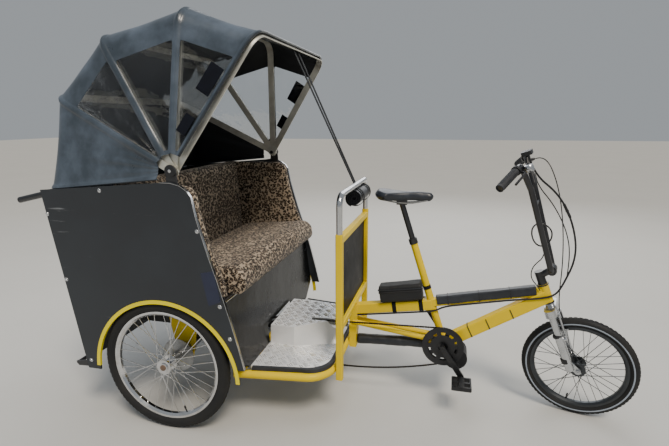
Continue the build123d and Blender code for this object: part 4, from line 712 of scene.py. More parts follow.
# Printed short-pile velour: tan with dark broken rings.
LEOPARD = Spotted(
    "printed_velour", "9C8C78", "B7A894", 120.0, 0.6, 0.85, 0.06, 0.0, 1.6, 0.35,
    sheen=0.12, specular=0.2, spot=12.5,
)
# Saddle cover: smooth polyurethane, shiny where it is sat on.
SADDLE_SKIN = Grained("polyurethane_cover", "1F232A", "363D48", 60.0, 0.6, 0.38, 0.10, 0.0, 2.0, 0.12, pebble=2.0)
# Plywood deck under the cushion, coloured near black: painted shade under the cushion.
DECK_PAINTED_SHADE = Planked("plywood_painted_shade", "26211D", "171412", 80.0, 0.5, 0.62, 0.08, 0.0, 2.0, 0.08)
# Battery case: ribbed ABS.
BATTERY_CASE = Finish("moulded_abs_black", "1A1B1D", "2C2D30", 90.0, 0.5, 0.50, 0.10, 0.0, 2.0, 0.08)
# Cable housing: smooth PVC over steel.
HOUSING = Finish("cable_housing_pvc", "121316", "25262A", 40.0, 0.5, 0.34, 0.08, 0.0, 2.0, 0.02)
# Bolt heads: bright plated steel.
BOLT_STEEL = Finish("plated_bolt_steel", "D9DBDE", "A7A9AC", 10.0, 0.5, 0.22, 0.08, 1.0, 1.0, 0.02)
# Brass-brown dust cap in the hubs.
HUB_CAP = Finish("hub_cap_brown", "6A5546", "8A7767", 14.0, 0.5, 0.45, 0.10, 0.3, 1.5, 0.05)
# Smoked lens of the display.
DISPLAY_GLASS = Finish("display_lens_smoked", "0D1013", "171B20", 30.0, 0.4, 0.08, 0.03, 0.0, 2.0, 0.01, coat=0.8)


class Finishes:
    """Builds each material once and hands it out."""

    def __init__(self) -> None:
        """Starts with no material built."""
        self.built: dict[str, Material] = {}

    def get(self, finish: Finish) -> Material:
        """The material of a finish, built the first time that it is asked for."""
        if finish.name not in self.built:
            self.built[finish.name] = finish.build()
        return self.built[finish.name]


@dataclass
class Workshop:
    """What every sub-assembly needs: the solids, the materials and the list of pieces."""

    nodes: dict[str, Object]
    finishes: Finishes = field(default_factory=Finishes)
    made: list[str] = field(default_factory=list)

    def dress(self, obj: Object, finish: Finish) -> Object:
        """Gives a whole object one finish."""
        obj.data.materials.clear()
        obj.data.materials.append(self.finishes.get(finish))
        return obj

    def node(self, finish: Finish, *names: str) -> None:
        """Gives solids that stay in view their finish."""
        material = self.finishes.get(finish)
        for obj in (self.nodes[name] for name in names):
            if not obj.material_slots:
                obj.data.materials.append(material)
            for material_slot in obj.material_slots:
                material_slot.material = material

    def add(
        self,
        obj: Object,
        finish: Finish | None,
        body: Body | None,
        slot: str,
        angle: float = 35.0,
        replaces: Iterable[str] = (),
    ) -> Object:
        """Finishes a piece: material, shading and the body that it rides on.

        Args:
            obj: the piece, its place in its mesh.
            finish: its material, or None where the faces already have theirs.
            body: what it moves with, or None for a piece that spans two bodies and is left on none.
            slot: the record's material slot; not used.
            angle: edges sharper than this stay sharp, in degrees.
            replaces: solids that it stands for.

        Returns:
            The same object.
        """
        if finish is not None:
            self.dress(obj, finish)
        Bench.smooth(obj, angle)
        Bench.clear()
        if body is not None:
            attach(obj, body.value)
        if replaces:
            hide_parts(*replaces)
        self.made.append(obj.name)
        LOG.info("%s: %d faces", obj.name, len(obj.data.polygons))
        return obj


@dataclass(frozen=True)
class Studio:
    """Camera of the photograph, plain floor and soft lights."""

    eye: Triple = (0.52268, -2.26517, 1.40272)
    yaw: float = 0.247
    pitch: float = 0.218
    roll: float = -0.004
    focal_share: float = 472.3 / 669.0
    sensor: float = 36.0
    sun_from: Triple = (2.6, -3.4, 5.6)
    sun_strength: float = 3.0
    sky_strength: float = 0.46

    def camera(self) -> Object:
        """Adds the camera and makes it the scene's."""
        flat = math.cos(self.pitch)
        forward = Vector((-math.sin(self.yaw) * flat, math.cos(self.yaw) * flat, -math.sin(self.pitch)))
        level = Vector((math.cos(self.yaw), math.sin(self.yaw), 0.0))
        upright = level.cross(forward)
        right = level * math.cos(self.roll) + upright * math.sin(self.roll)
        up = right.cross(forward)
        turn = Matrix((right, up, -forward)).transposed()
        bpy.ops.object.camera_add(location=self.eye, rotation=turn.to_euler())
        camera = bpy.context.object
        camera.name = "camera"
        camera.data.sensor_width = self.sensor
        camera.data.lens = self.focal_share * self.sensor
        camera.data.clip_start = 0.05
        bpy.context.scene.camera = camera
        return camera

    def floor(self) -> None:
        """Adds the plain pale floor."""
        bpy.ops.mesh.primitive_plane_add(size=60.0, location=(0, 0, -0.0005))
        floor = bpy.context.object
        floor.name = "floor"
        floor.data.materials.append(Finish("pale_floor", "B9B9B6", "B3B3B0", 900.0, 0.5, 0.8, 0.05).build())

    def lights(self) -> None:
        """Adds a soft sun, large soft lights and a pale sky."""
        sun_from = Vector(self.sun_from)
        turn = sun_from.to_track_quat("Z", "Y").to_euler()
        bpy.ops.object.light_add(type="SUN", location=sun_from, rotation=turn)
        sun = bpy.context.object
        sun.name = "light_sun"
        sun.data.energy = self.sun_strength
        sun.data.angle = 0.30
        sun.data.color = linear("FFF3E2")[:3]
        rows = (
            # name, place, aim, size, watts, colour
            ("fill", (-4.2, -3.4, 2.2), (-0.4, 0.0, 0.6), 3.0, 30.0, "E8F0FF"),
            ("back", (0.6, 4.6, 3.8), (0.0, 0.0, 1.0), 4.0, 120.0, "FFFFFF"),
            ("top", (-0.5, 0.2, 5.2), (-0.2, 0.0, 0.0), 4.2, 120.0, "F4F8FF"),
        )
        for name, spot, aim, size, watts, colour in rows:
            turn = (Vector(aim) - Vector(spot)).to_track_quat("-Z", "Y").to_euler()
            bpy.ops.object.light_add(type="AREA", location=spot, rotation=turn)
            light = bpy.context.object
            light.name = f"light_{name}"
            light.data.size = size
            light.data.energy = watts
            light.data.color = linear(colour)[:3]
            light.visible_glossy = name == "back"
        world = bpy.data.worlds.new("studio")
        world.use_nodes = True
        sky = world.node_tree.nodes["Background"]
        sky.inputs[0].default_value = linear("DDE3E8")
        sky.inputs[1].default_value = self.sky_strength
        bpy.context.scene.world = world


@dataclass(frozen=True)
class Steering:
    """The raked steering axis and the bars turned on it."""

    foot: Triple = (1809.25, 0.0, 239.48)
    rake: float = 21.3
    turned: float = -14.0

    def at(self, forward: float, side: float, along: float, turned: bool = True) -> Vector:
        """A point of the steered assembly.

        Args:
            forward: square to the axis, with the bars straight, in mm.
            side: to the left, in mm.
            along: up the axis, in mm.
            turned: whether it turns with the bars.

        Returns:
            The point in metres of the shared frame.
        """
        if turned:
            swing = math.radians(self.turned)
            forward, side = (
                forward * math.cos(swing) - side * math.sin(swing),
                forward * math.sin(swing) + side * math.cos(swing),
            )
        lean = math.radians(self.rake)
        return place(
            self.foot[0] + forward * math.cos(lean) - along * math.sin(lean),
            side,
            self.foot[2] + forward * math.sin(lean) + along * math.cos(lean),
        )

    def line(self, points: Route, turned: bool = True) -> list[Vector]:
        """Several points of the steered assembly."""
        return [self.at(*point, turned) for point in points]

    def up(self) -> Vector:
        """The direction of the steering axis, of length one."""
        return (self.at(0, 0, 100) - self.at(0, 0, 0)).normalized()


STEER = Steering()


@dataclass(frozen=True)
class TyreForm:
    """A tyre: its section, the shoulder's blocks and the reflective band.

    Sizes are in millimetres.
    """

    radius: float
    width: float
    rim: float
    blocks: int
    band: bool = False

    def profile(self) -> list[Pair]:
        """Section of the tyre as radius and height, from one bead round the tread to the other."""
        half = self.width / 2
        mid = self.radius - half
        points = []
        for step in range(25):
            angle = math.radians(-118 + 236 * step / 24)
            out = half - (1.5 if abs(math.degrees(angle)) < 62 else 0.9)
            points.append((mid + out * math.cos(angle), half * math.sin(angle) * 0.985))
        return points + [(self.rim - 1.5, half * 0.45), (self.rim - 1.5, -half * 0.45)]

    def block(self, name: str) -> Object:
        """One tread block of the shoulder, on the axis X at the tyre's edge."""
        half = self.width / 2
        mid = self.radius - half
        angle = math.radians(38)
        pitch = math.tau * self.radius / self.blocks / 1000
        piece = Bench.box(name, Vector((-0.0018, -pitch * 0.34, -0.0062)), Vector((0.0008, pitch * 0.34, 0.0062)))
        Bench.pick(piece, lambda centre, normal: normal.x > 0.9)
        bpy.ops.transform.resize(value=(1.0, 0.82, 0.86))
        bpy.ops.object.mode_set(mode="OBJECT")
        piece.data.transform(Matrix.Rotation(-angle, 4, "Y"))
        spot = Vector(((mid + (half - 1.6) * math.cos(angle)) / 1000, 0, half * math.sin(angle) * 0.97 / 1000))
        piece.data.transform(Matrix.Translation(spot))
        return piece

    def centre_block(self, name: str) -> Object:
        """One low bar of the tread's middle, slanted across it."""
        pitch = math.tau * self.radius / self.blocks / 1000
        top = self.radius / 1000
        low = Vector((top - 0.0034, -pitch * 0.2, 0.0016))
        high = Vector((top - 0.0004, pitch * 0.2, self.width * 0.235 / 1000))
        piece = Bench.box(name, low, high)
        for vertex in piece.data.vertices:
            vertex.co.y += (vertex.co.z - 0.006) * 0.55
            vertex.co.x -= abs(vertex.co.z) ** 2 * 14.0
        return piece

    def build(self, name: str, centre: Vector, axis: Vector) -> Object:
        """The whole tyre, in place.

        Args:
            name: the piece's name.
            centre: the wheel's middle.
            axis: the wheel's axis, of length one.

        Returns:
            The tyre as one object.
        """
        parts = [Bench.lathe(name, self.profile(), ORIGIN, UPWARD, 108)]
        shoulder = self.block(f"{name}.shoulder")
        middle = self.centre_block(f"{name}.middle")
        for index in range(self.blocks):
            turn = math.tau * index / self.blocks
            for flip in (False, True):
                mirror = Matrix.Scale(-1, 4, UPWARD) if flip else Matrix.Identity(4)
                shift = math.pi / self.blocks if flip else 0.0
                for source in (shoulder, middle):
                    matrix = Matrix.Rotation(turn + shift, 4, "Z") @ mirror
                    parts.append(Bench.copy(source, f"{source.name}.{index}", matrix))
        Bench.drop(shoulder, middle)
        tyre = Bench.join(name, parts)
        tyre.rotation_euler = axis.to_track_quat("Z", "X").to_euler()
        tyre.location = centre
        return Bench.settle(tyre)


@dataclass
class Wheels:
    """The three wheels: tyres with tread, and what the hubs and rims carry."""

    shop: Workshop
    rear: TyreForm = TyreForm(312.0, 52.0, 261.0, 84)
    front: TyreForm = TyreForm(252.0, 46.0, 210.0, 72, True)
    track_half: float = 550.0
    front_centre: Triple = (1839.087, -7.983, 251.114)
    front_axis: Triple = (-0.2254, -0.9703, -0.0879)

    def build(self) -> None:
        """Builds what the wheels need beyond their solids."""
        for side, body in ((Side.RIGHT, Body.RIGHT_WHEEL), (Side.LEFT, Body.LEFT_WHEEL)):
            self.rear_wheel(side, body, place(0, side.value * self.track_half, self.rear.radius))
        self.front_wheel()
        self.shop.node(CHROME, "rear_wheel_right", "rear_wheel_left")
        self.shop.node(GREY_RIM, "front_wheel")

    def rear_wheel(self, side: Side, body: Body, centre: Vector) -> None:
        """One rear wheel's tyre, dust cap and valve."""
        axis = Vector((0, side.value, 0))
        label = side.name.lower()
        tyre = self.rear.build(f"tyre_rear_{label}", centre, axis)
        self.shop.add(tyre, RUBBER, body, "tyre_black", 32, [f"rear_tyre_{label}"])
        self.valve(f"valve_rear_{label}", centre, Vector((0.34, 0, -0.94)).normalized(), self.rear.rim, body)
        profile = [(0, -2), (14, -2), (14, 2.2), (11.5, 3.6), (5, 3.9), (0, 3.9)]
        cap = Bench.lathe(f"hub_cap_{label}", profile, centre + axis * 0.033, axis, 32)
        self.shop.add(cap, HUB_CAP, body, "rim_chrome", 40)

    def front_wheel(self) -> None:
        """The front wheel's tyre, its band and valve."""
        centre = place(*self.front_centre)
        axis = Vector(self.front_axis).normalized()
        tyre = self.front.build("tyre_front", centre, axis)
        self.shop.add(tyre, RUBBER, Body.FRONT_WHEEL, "tyre_black", 32, ["front_tyre"])
        for side in Side:
            self.band(side, centre, axis)
        steep = Vector((0.2, 0.0, 1.0))
        down = (steep - axis * steep.dot(axis)).normalized()
        self.valve("valve_front", centre, -down, self.front.rim, Body.FRONT_WHEEL)

    def band(self, side: Side, centre: Vector, axis: Vector) -> None:
        """The pale reflective line on one side wall of the front tyre."""
        half = self.front.width / 2
        mid = self.front.radius - half
        points = []
        for angle, lift in ((104, 0.15), (99, 0.75), (88, 0.75), (83, 0.15), (88, -0.6), (99, -0.6)):
            turn = math.radians(angle)
            out = half - 0.9 + lift
            points.append((mid + out * math.cos(turn), side.value * out * math.sin(turn)))
        ring = Bench.lathe(f"band_front_{side.name.lower()}", points, centre, axis, 96)
        self.shop.add(ring, REFLECTIVE, Body.FRONT_WHEEL, "tyre_black")

    def valve(self, name: str, centre: Vector, out: Vector, rim: float, body: Body) -> None:
        """A valve stem that stands inwards from the rim, with its cap."""
        root = centre + out * (rim - 13) / 1000
        profile = [(0, 0), (4.2, 0), (4.2, 2), (3.0, 3), (3.0, 20), (4.0, 21), (4.0, 33), (2.6, 36), (0, 36.5)]
        self.shop.add(Bench.lathe(name, profile, root, -out, 16), NYLON, body, "tyre_black")


@dataclass
class Cables:
    """Held cables of the brake, the shifter and the display, as smooth tubes in black housing.

    Points of the routes are forward, side and along of the steering assembly, in millimetres.
    """

    shop: Workshop
    thin: float = 2.5
    thick: float = 4.5
    brake: Route = (
        (115.9, 169.8, 986.4),
        (165, 140, 992),
        (182, 100, 860),
        (158, 78, 690),
        (105, 46, 500),
        (44, 14, 350),
        (31, 12, 287.7),
    )
    joining: Route = (
        (115.9, -169.8, 986.4),
        (138, -130, 978),
        (118, -45, 900),
        (150, 0, 790),
        (164, 30, 650),
        (146, 30, 530),
        (104.1, 17.9, 436.9),
    )
    bars: Route = (
        (118, -30, 1039),
        (112, -16, 950),
        (182, 38, 815),
        (196, 50, 660),
        (168, 42, 515),
        (78, 8, 405),
    )
    bars_end: Route = ((30, -29.1, 375), (-40, -29.1, 381))
    riser: Route = ((58, -42, 495), (90, -68, 890))
    spare_radius: float = 54.0
    spare_thick: float = 3.4
    spare_height: float = 0.46
    spare_squash: float = 0.78
    plug: Route = ((184.5, 44.5, 770), (192.0, 48.0, 700))
    plug_length: float = 67.0
    rear: Route = (
        (66, -46, 610),
        (43, -38, 570),
        (18.4, -40, 557.5),
        (-7.8, -42, 541),
        (-27.5, -41, 511),
        (-32.5, -37, 478),
    )
    rear_end: Route = ((-27, -27, 443), (-22, -24, 416))
    head_bend: Route = ((-40, 0, 381), (120, 0, 560))
    stem_bend: Route = ((0, 0, 430), (0, 0, 560))
    # The tubes that the bundle lies on: start, direction, distance off the middle, places along and beside it.
    runs: tuple[tuple[Pair, Pair, float, tuple[Pair, ...]], ...] = (
        (
            (1147.02, 507.0),
            (0.98037, 0.19721),
            21,
            ((428, -29.1), (372, -22.8), (300, -22.8), (150, -22.8), (60, -22.8)),
        ),
        ((769.6, 440.0), (0.98858, 0.15074), 31.1, ((392.8, -22.8), (300, -22.8), (120, -21.0), (1, -18.8))),
    )

    def build(self) -> None:
        """Builds the brake's cable, the spare loop and the cables that run from the turning bars to the frame, on
        no body.
        """
        brake = Bench.tube("cable_brake", STEER.line(self.brake), self.thin / 1000)
        self.shop.add(brake, HOUSING, Body.STEERING, "cable_black", 60, ["brake_cables"])
        self.spare()
        rear = STEER.line(self.rear) + STEER.line(self.rear_end, False)
        rows = (
            # name, line, thickness, where the bend lies, the solid that it stands for
            ("cable_bundle", self.bundle_line(), self.thick, self.head_bend, ["frame_cables"]),
            ("cable_joining", STEER.line(self.joining), self.thin, self.head_bend, []),
            ("cable_rear", rear, self.thin, self.stem_bend, []),
        )
        for name, line, thickness, bend, solids in rows:
            cable = Bench.tube(name, line, thickness / 1000)
            self.shop.add(cable, HOUSING, None, "cable_black", 60, solids)
            start, end = STEER.line(bend, False)
            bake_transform(cable)
        self.connector()

    def bundle_line(self) -> list[Vector]:
        """The bundle's control points, from the display back to the bulkhead."""
        points = STEER.line(self.bars) + STEER.line(self.bars_end, False)
        for start, direction, off, spots in self.runs:
            way = Vector(direction)
            for along, side in spots:
                spot = Vector(start) + way * along + Vector((way.y, -way.x)) * off
                points.append(place(spot.x, side, spot.y))
        return points

    def spare(self) -> None:
        """The spare loop of thin cable tied inside the right riser."""
        low, high = STEER.line(self.riser)
        riser = (high - low).normalized()
        inward = ACROSS - riser * riser.y
        inward.normalize()
        middle = low.lerp(high, self.spare_height) + inward * 0.0158
        side = riser.cross(inward)
        ring = []
        for step in range(16):
            turn = math.tau * step / 16
            radius = (self.spare_radius + 2.5 * math.sin(3 * turn)) / 1000
            ring.append(middle + (riser * math.cos(turn) + side * math.sin(turn) * self.spare_squash) * radius)
        loop = Bench.tube("cable_spare", ring, self.spare_thick / 1000, True)
        self.shop.add(loop, HOUSING, Body.STEERING, "cable_black", 60)

    def connector(self) -> None:
        """The plug halfway down the bundle's free run."""
        start, end = STEER.line(self.plug)
        way = end - start
        body = [(0, 0), (5.2, 0), (6.4, 4), (6.4, 30), (7.6, 31), (7.6, 36), (6.2, 37), (6.2, 62)]
        tip = [(5.0, self.plug_length), (0, self.plug_length)]
        scale = way.length * 1000 / self.plug_length
        plug = Bench.lathe("cable_plug", [(r, h * scale) for r, h in body + tip], start, way.normalized(), 20)
        self.shop.add(plug, NYLON, Body.STEERING, "cable_black", 40)


@dataclass
class Drive:
    """Chain of single links, the chainring's guard, and the finishes of the crank, motor and pedals.

    Sizes are in millimetres.
    """

    shop: Workshop
    bracket: Pair = (1212.0, 307.0)
    hub: Pair = (0.0, 312.0)
    ring_radius: float = 93.3
    sprocket_radius: float = 44.0
    sag: Pair = (640.0, 137.0)
    line: float = -60.0
    links: int = 226
    run: int = 120
    bend: int = 60

    def build(self) -> None:
        """Builds the chain and the guard."""
        self.chain()
        self.guard()
        self.shop.node(CRANK_BLACK, "crankset")
        self.shop.node(MOTOR_CAST, "motor")
        self.shop.node(NYLON, "pedal_left", "pedal_right")

    def path(self) -> list[Vector]:
        """The chain's centre line as a dense closed row of points, in mm."""
        bracket, hub = Vector(self.bracket), Vector(self.hub)
        ring, sprocket = Vector((0, self.ring_radius)), Vector((0, self.sprocket_radius))
        flat = [(hub + sprocket).lerp(bracket + ring, step / self.run) for step in range(self.run)]
        start, end = bracket - ring, hub - sprocket
        centre = self.circle(start, Vector(self.sag), end)
        first = math.atan2(start.y - centre.y, start.x - centre.x)
        last = math.atan2(end.y - centre.y, end.x - centre.x)
        arcs = (
            # middle, radius, first angle, angle passed, steps
            (bracket, self.ring_radius, math.pi / 2, -math.pi, self.bend),
            (centre, (start - centre).length, first, last - first, self.run),
            (hub, self.sprocket_radius, -math.pi / 2, -math.pi, self.bend),
        )
        for middle, radius, begin, passed, steps in arcs:
            for step in range(steps):
                turn = begin + passed * step / steps
                flat.append(middle + Vector((math.cos(turn), math.sin(turn))) * radius)
        return [Vector((point.x, 0, point.y)) for point in flat]

    @staticmethod
    def circle(a: Vector, b: Vector, c: Vector) -> Vector:
        """Centre of the circle through three points."""
        d = 2 * (a.x * (b.y - c.y) + b.x * (c.y - a.y) + c.x * (a.y - b.y))
        x = (a.length_squared * (b.y - c.y) + b.length_squared * (c.y - a.y) + c.length_squared * (a.y - b.y)) / d
        y = (a.length_squared * (c.x - b.x) + b.length_squared * (a.x - c.x) + c.length_squared * (b.x - a.x)) / d
        return Vector((x, y))

    def link(self, name: str, outer: bool) -> Object:
        """One link along X: two waisted plates, and rollers between the inner ones."""
        parts = []
        gap = 3.0 if outer else 2.0
        for side in (-1, 1):
            low = Vector((-0.0100, (side * gap - 0.45) / 1000, -0.0041))
            high = Vector((0.0100, (side * gap + 0.45) / 1000, 0.0041))
            plate = Bench.box(f"{name}.plate", low, high)
            Bench.whole(plate, bpy.ops.mesh.bisect, plane_co=(0, 0, 0), plane_no=(1, 0, 0))
            for vertex in plate.data.vertices:
                if abs(vertex.co.x) < 1e-5:
                    vertex.co.z *= 0.68
            parts.append(Bench.ease(plate, 0.0030, 2, 60))
        if not outer:
            for x in (-0.00635, 0.00635):
                ends = Vector((x, -0.0026, 0)), Vector((x, 0.0026, 0))
                parts.append(Bench.rod(f"{name}.roller", *ends, 0.0038, 10))
        return Bench.join(name, parts)

    def chain(self) -> None:
        """Lays the links along the path."""
        points = self.path()
        lengths = [(points[(i + 1) % len(points)] - points[i]).length for i in range(len(points))]
        total = sum(lengths)
        kinds = (self.link("link_inner", False), self.link("link_outer", True))
        parts = []
        index, passed = 0, 0.0
        for number in range(self.links):
            goal = total * number / self.links
            while passed + lengths[index] < goal:
                passed += lengths[index]
                index += 1
            start, end = points[index], points[(index + 1) % len(points)]
            spot = start.lerp(end, (goal - passed) / lengths[index])
            way = (end - start).normalized()
            matrix = Matrix((way, ACROSS, way.cross(ACROSS))).transposed().to_4x4()
            matrix.translation = place(spot.x, self.line, spot.z)
            parts.append(Bench.copy(kinds[number % 2], f"link.{number}", matrix))
        Bench.drop(*kinds)
        self.shop.add(Bench.join("chain", parts), CHAIN_STEEL, Body.VEHICLE, "chain_steel", 40, ["drive_chain"])

    def guard(self) -> None:
        """The flat black ring outside the chainring, with its rolled edge."""
        centre = place(self.bracket[0], self.line - 6.5, self.bracket[1])
        outer = self.ring_radius + 6.5
        edge = [(-26, 0), (-26, 2.2), (-3, 2.2), (-1, 3.4), (1, 2.4), (1, -0.2), (-3, 0)]
        spider = [(24, 0), (60, 0), (60, 2.4), (56, 3.2), (28, 3.2), (24, 2.4)]
        ring = Bench.lathe("chain_guard", [(outer + r, h) for r, h in edge], centre, -ACROSS, 72)
        parts = [ring, Bench.lathe("chain_spider", spider, centre, -ACROSS, 60)]
        for index in range(5):
            turn = math.tau * (index + 0.5) / 5
            bridge = Bench.box("bridge", Vector((0.056, -0.011, 0.0002)), Vector((0.080, 0.011, 0.0020)))
            bridge.data.transform(Matrix.Rotation(math.pi / 2, 4, "X") @ Matrix.Rotation(turn, 4, "Z"))
            bridge.data.transform(Matrix.Translation(centre))
            parts.append(bridge)
        self.shop.add(Bench.join("chain_guard", parts), NYLON, Body.CRANK, "crank_steel", 40)


@dataclass
class Front:
    """What the bars and the fork carry: grip ribs, rings on the legs, headset races, the shifter's pod."""

    shop: Workshop
    grip_ends: Route = ((81, 154, 1008), (15, 284, 973))
    rib_count: int = 14
    rib_pitch: float = 0.008
    pod_at: Triple = (118, -124, 994)
    pod_clamp: Triple = (88, -128, 990)

    def build(self) -> None:
        """Builds the small parts and dresses the solids."""
        self.shop.node(SILVER, "fork", "front_brake")
        self.shop.node(BLACK_ENAMEL, "handlebar")
        self.shop.node(NYLON, "bar_controls")
        self.shop.node(GRIP_RUBBER, "grips")
        for side in Side:
            self.ribs(side)
            self.slider_boot(side)
        self.rings()
        self.pod()

    def ribs(self, side: Side) -> None:
        """Raised rings round one grip."""
        inner, outer = (STEER.at(x, side.value * y, along) for x, y, along in self.grip_ends)
        way = (outer - inner).normalized()
        parts = []
        profile = [(16.6, -1.6), (18.0, -0.9), (18.0, 0.9), (16.6, 1.6)]
        label = side.name.lower()
        for index in range(self.rib_count):
            spot = outer - way * (0.012 + self.rib_pitch * index)
            parts.append(Bench.lathe(f"grip_rib_{label}.{index}", profile, spot, way, 24))
        ribs = Bench.join(f"grip_ribs_{label}", parts)
        self.shop.add(ribs, GRIP_RUBBER, Body.STEERING, "grip_rubber", 40)

    def slider_boot(self, side: Side) -> None:
        """The black ring low on the near fork leg, and the dust seal at a leg's top."""
        boot = [(19.2, 0), (20.6, 1), (20.6, 23), (19.2, 24)]
        seal = [(16.2, 0), (20.4, 0), (20.4, 7), (18.2, 13), (16.2, 14)]
        rows = (("boot", boot, 62), ("seal", seal, 193))
        for name, profile, along in rows if side is Side.RIGHT else rows[1:]:
            spot = STEER.at(0, side.value * 64, along)
            ring = Bench.lathe(f"fork_{name}_{side.name.lower()}", profile, spot, STEER.up(), 32)
            self.shop.add(ring, NYLON, Body.STEERING, "fork_silver", 40)

    def pod(self) -> None:
        """The shifter's silver pod inboard of the right grip, with its dark lens and its clamp."""
        spot, way = STEER.at(*self.pod_at), STEER.up()
        outline = [(0, -17), (14, -17), (19, -13), (20.5, -4), (20.5, 6), (17, 13), (11, 16), (0, 17)]
        shell = Bench.lathe("shifter_pod", outline, spot, way, 28)
        self.shop.add(shell, SILVER, Body.STEERING, "fork_silver", 35)
        rim = [(0, 15), (9, 16.6), (9.6, 17.6), (7.5, 19.6), (0, 20.4)]
        lens = Bench.lathe("shifter_lens", rim, spot, way, 24)
        self.shop.add(lens, DISPLAY_GLASS, Body.STEERING, "cable_black", 35)
        clamp = Bench.rod("shifter_clamp", STEER.at(*self.pod_clamp), spot, 0.0085)
        self.shop.add(clamp, NYLON, Body.STEERING, "cable_black", 40)

    def rings(self) -> None:
        """Headset races at the lower and the upper end of the head tube."""
        rows = (
            ("headset_low", ((23.2, 0), (26.0, 1), (26.0, 5), (23.2, 8)), 339),
            ("headset_high", ((23.2, 0), (26.0, 3), (26.0, 7), (23.2, 8)), 428),
        )
        for name, profile, along in rows:
            ring = Bench.lathe(name, profile, STEER.at(0, 0, along), STEER.up(), 40)
            self.shop.add(ring, BLACK_ENAMEL, Body.VEHICLE, "frame_yellow", 40)


@dataclass(frozen=True)
class Rib:
    """One edge line of the hood: up one side, across the top and down the other."""

    angle: float
    reach: float
    lean: float
    drop: float = 0.0

    def line(self, grow: float, hood: "Hood") -> list[Vector]:
        """Points along the line at the hood's rows, in metres.

        Args:
            grow: how far outside the bow it lies, in mm.
            hood: gives the hinge, the rows and the half width.

        Returns:
            One point for each row, from the right foot over the top to the left foot.
        """
        half = hood.half_width - self.lean
        foot = Vector((hood.foot, hood.half_width - self.lean * 30 / (self.reach - 40) + grow))
        corner = Vector((self.reach + grow, half + grow))
        down = (foot - corner).normalized()
        across = Vector((0.0, -1.0))
        radius = hood.corner + grow
        opening = down.angle(across) / 2
        middle = corner + (down + across).normalized() * radius / math.sin(opening)
        first = corner + down * radius / math.tan(opening)
        last = corner + across * radius / math.tan(opening)
        flat = [foot + (corner - foot) * (r - hood.foot) / (corner.x - hood.foot) for r in hood.leg_rows()]
        low = math.atan2(first.y - middle.y, first.x - middle.x)
        high = math.atan2(last.y - middle.y, last.x - middle.x)
        for step in range(hood.corner_rows + 1):
            turn = low + (high - low) * step / hood.corner_rows
            flat.append(middle + Vector((math.cos(turn), math.sin(turn))) * radius)
        for step in range(1, hood.top_rows):
            flat.append(Vector((last.x, last.y * (1 - step / hood.top_rows))))
        right = [self.turn(point.x, -point.y, hood) for point in flat]
        left = [self.turn(point.x, point.y, hood) for point in reversed(flat)]
        return right + [self.turn(last.x, 0.0, hood)] + left

    def turn(self, radial: float, across: float, hood: "Hood") -> Vector:
        """A point of the rib's plane, in metres."""
        angle = math.radians(self.angle)
        hang = self.drop * max(0.0, 1 - (radial - hood.foot) / (self.reach - hood.foot))
        x, z = hood.hinge
        return place(x + radial * math.cos(angle), across, z + radial * math.sin(angle) - hang)


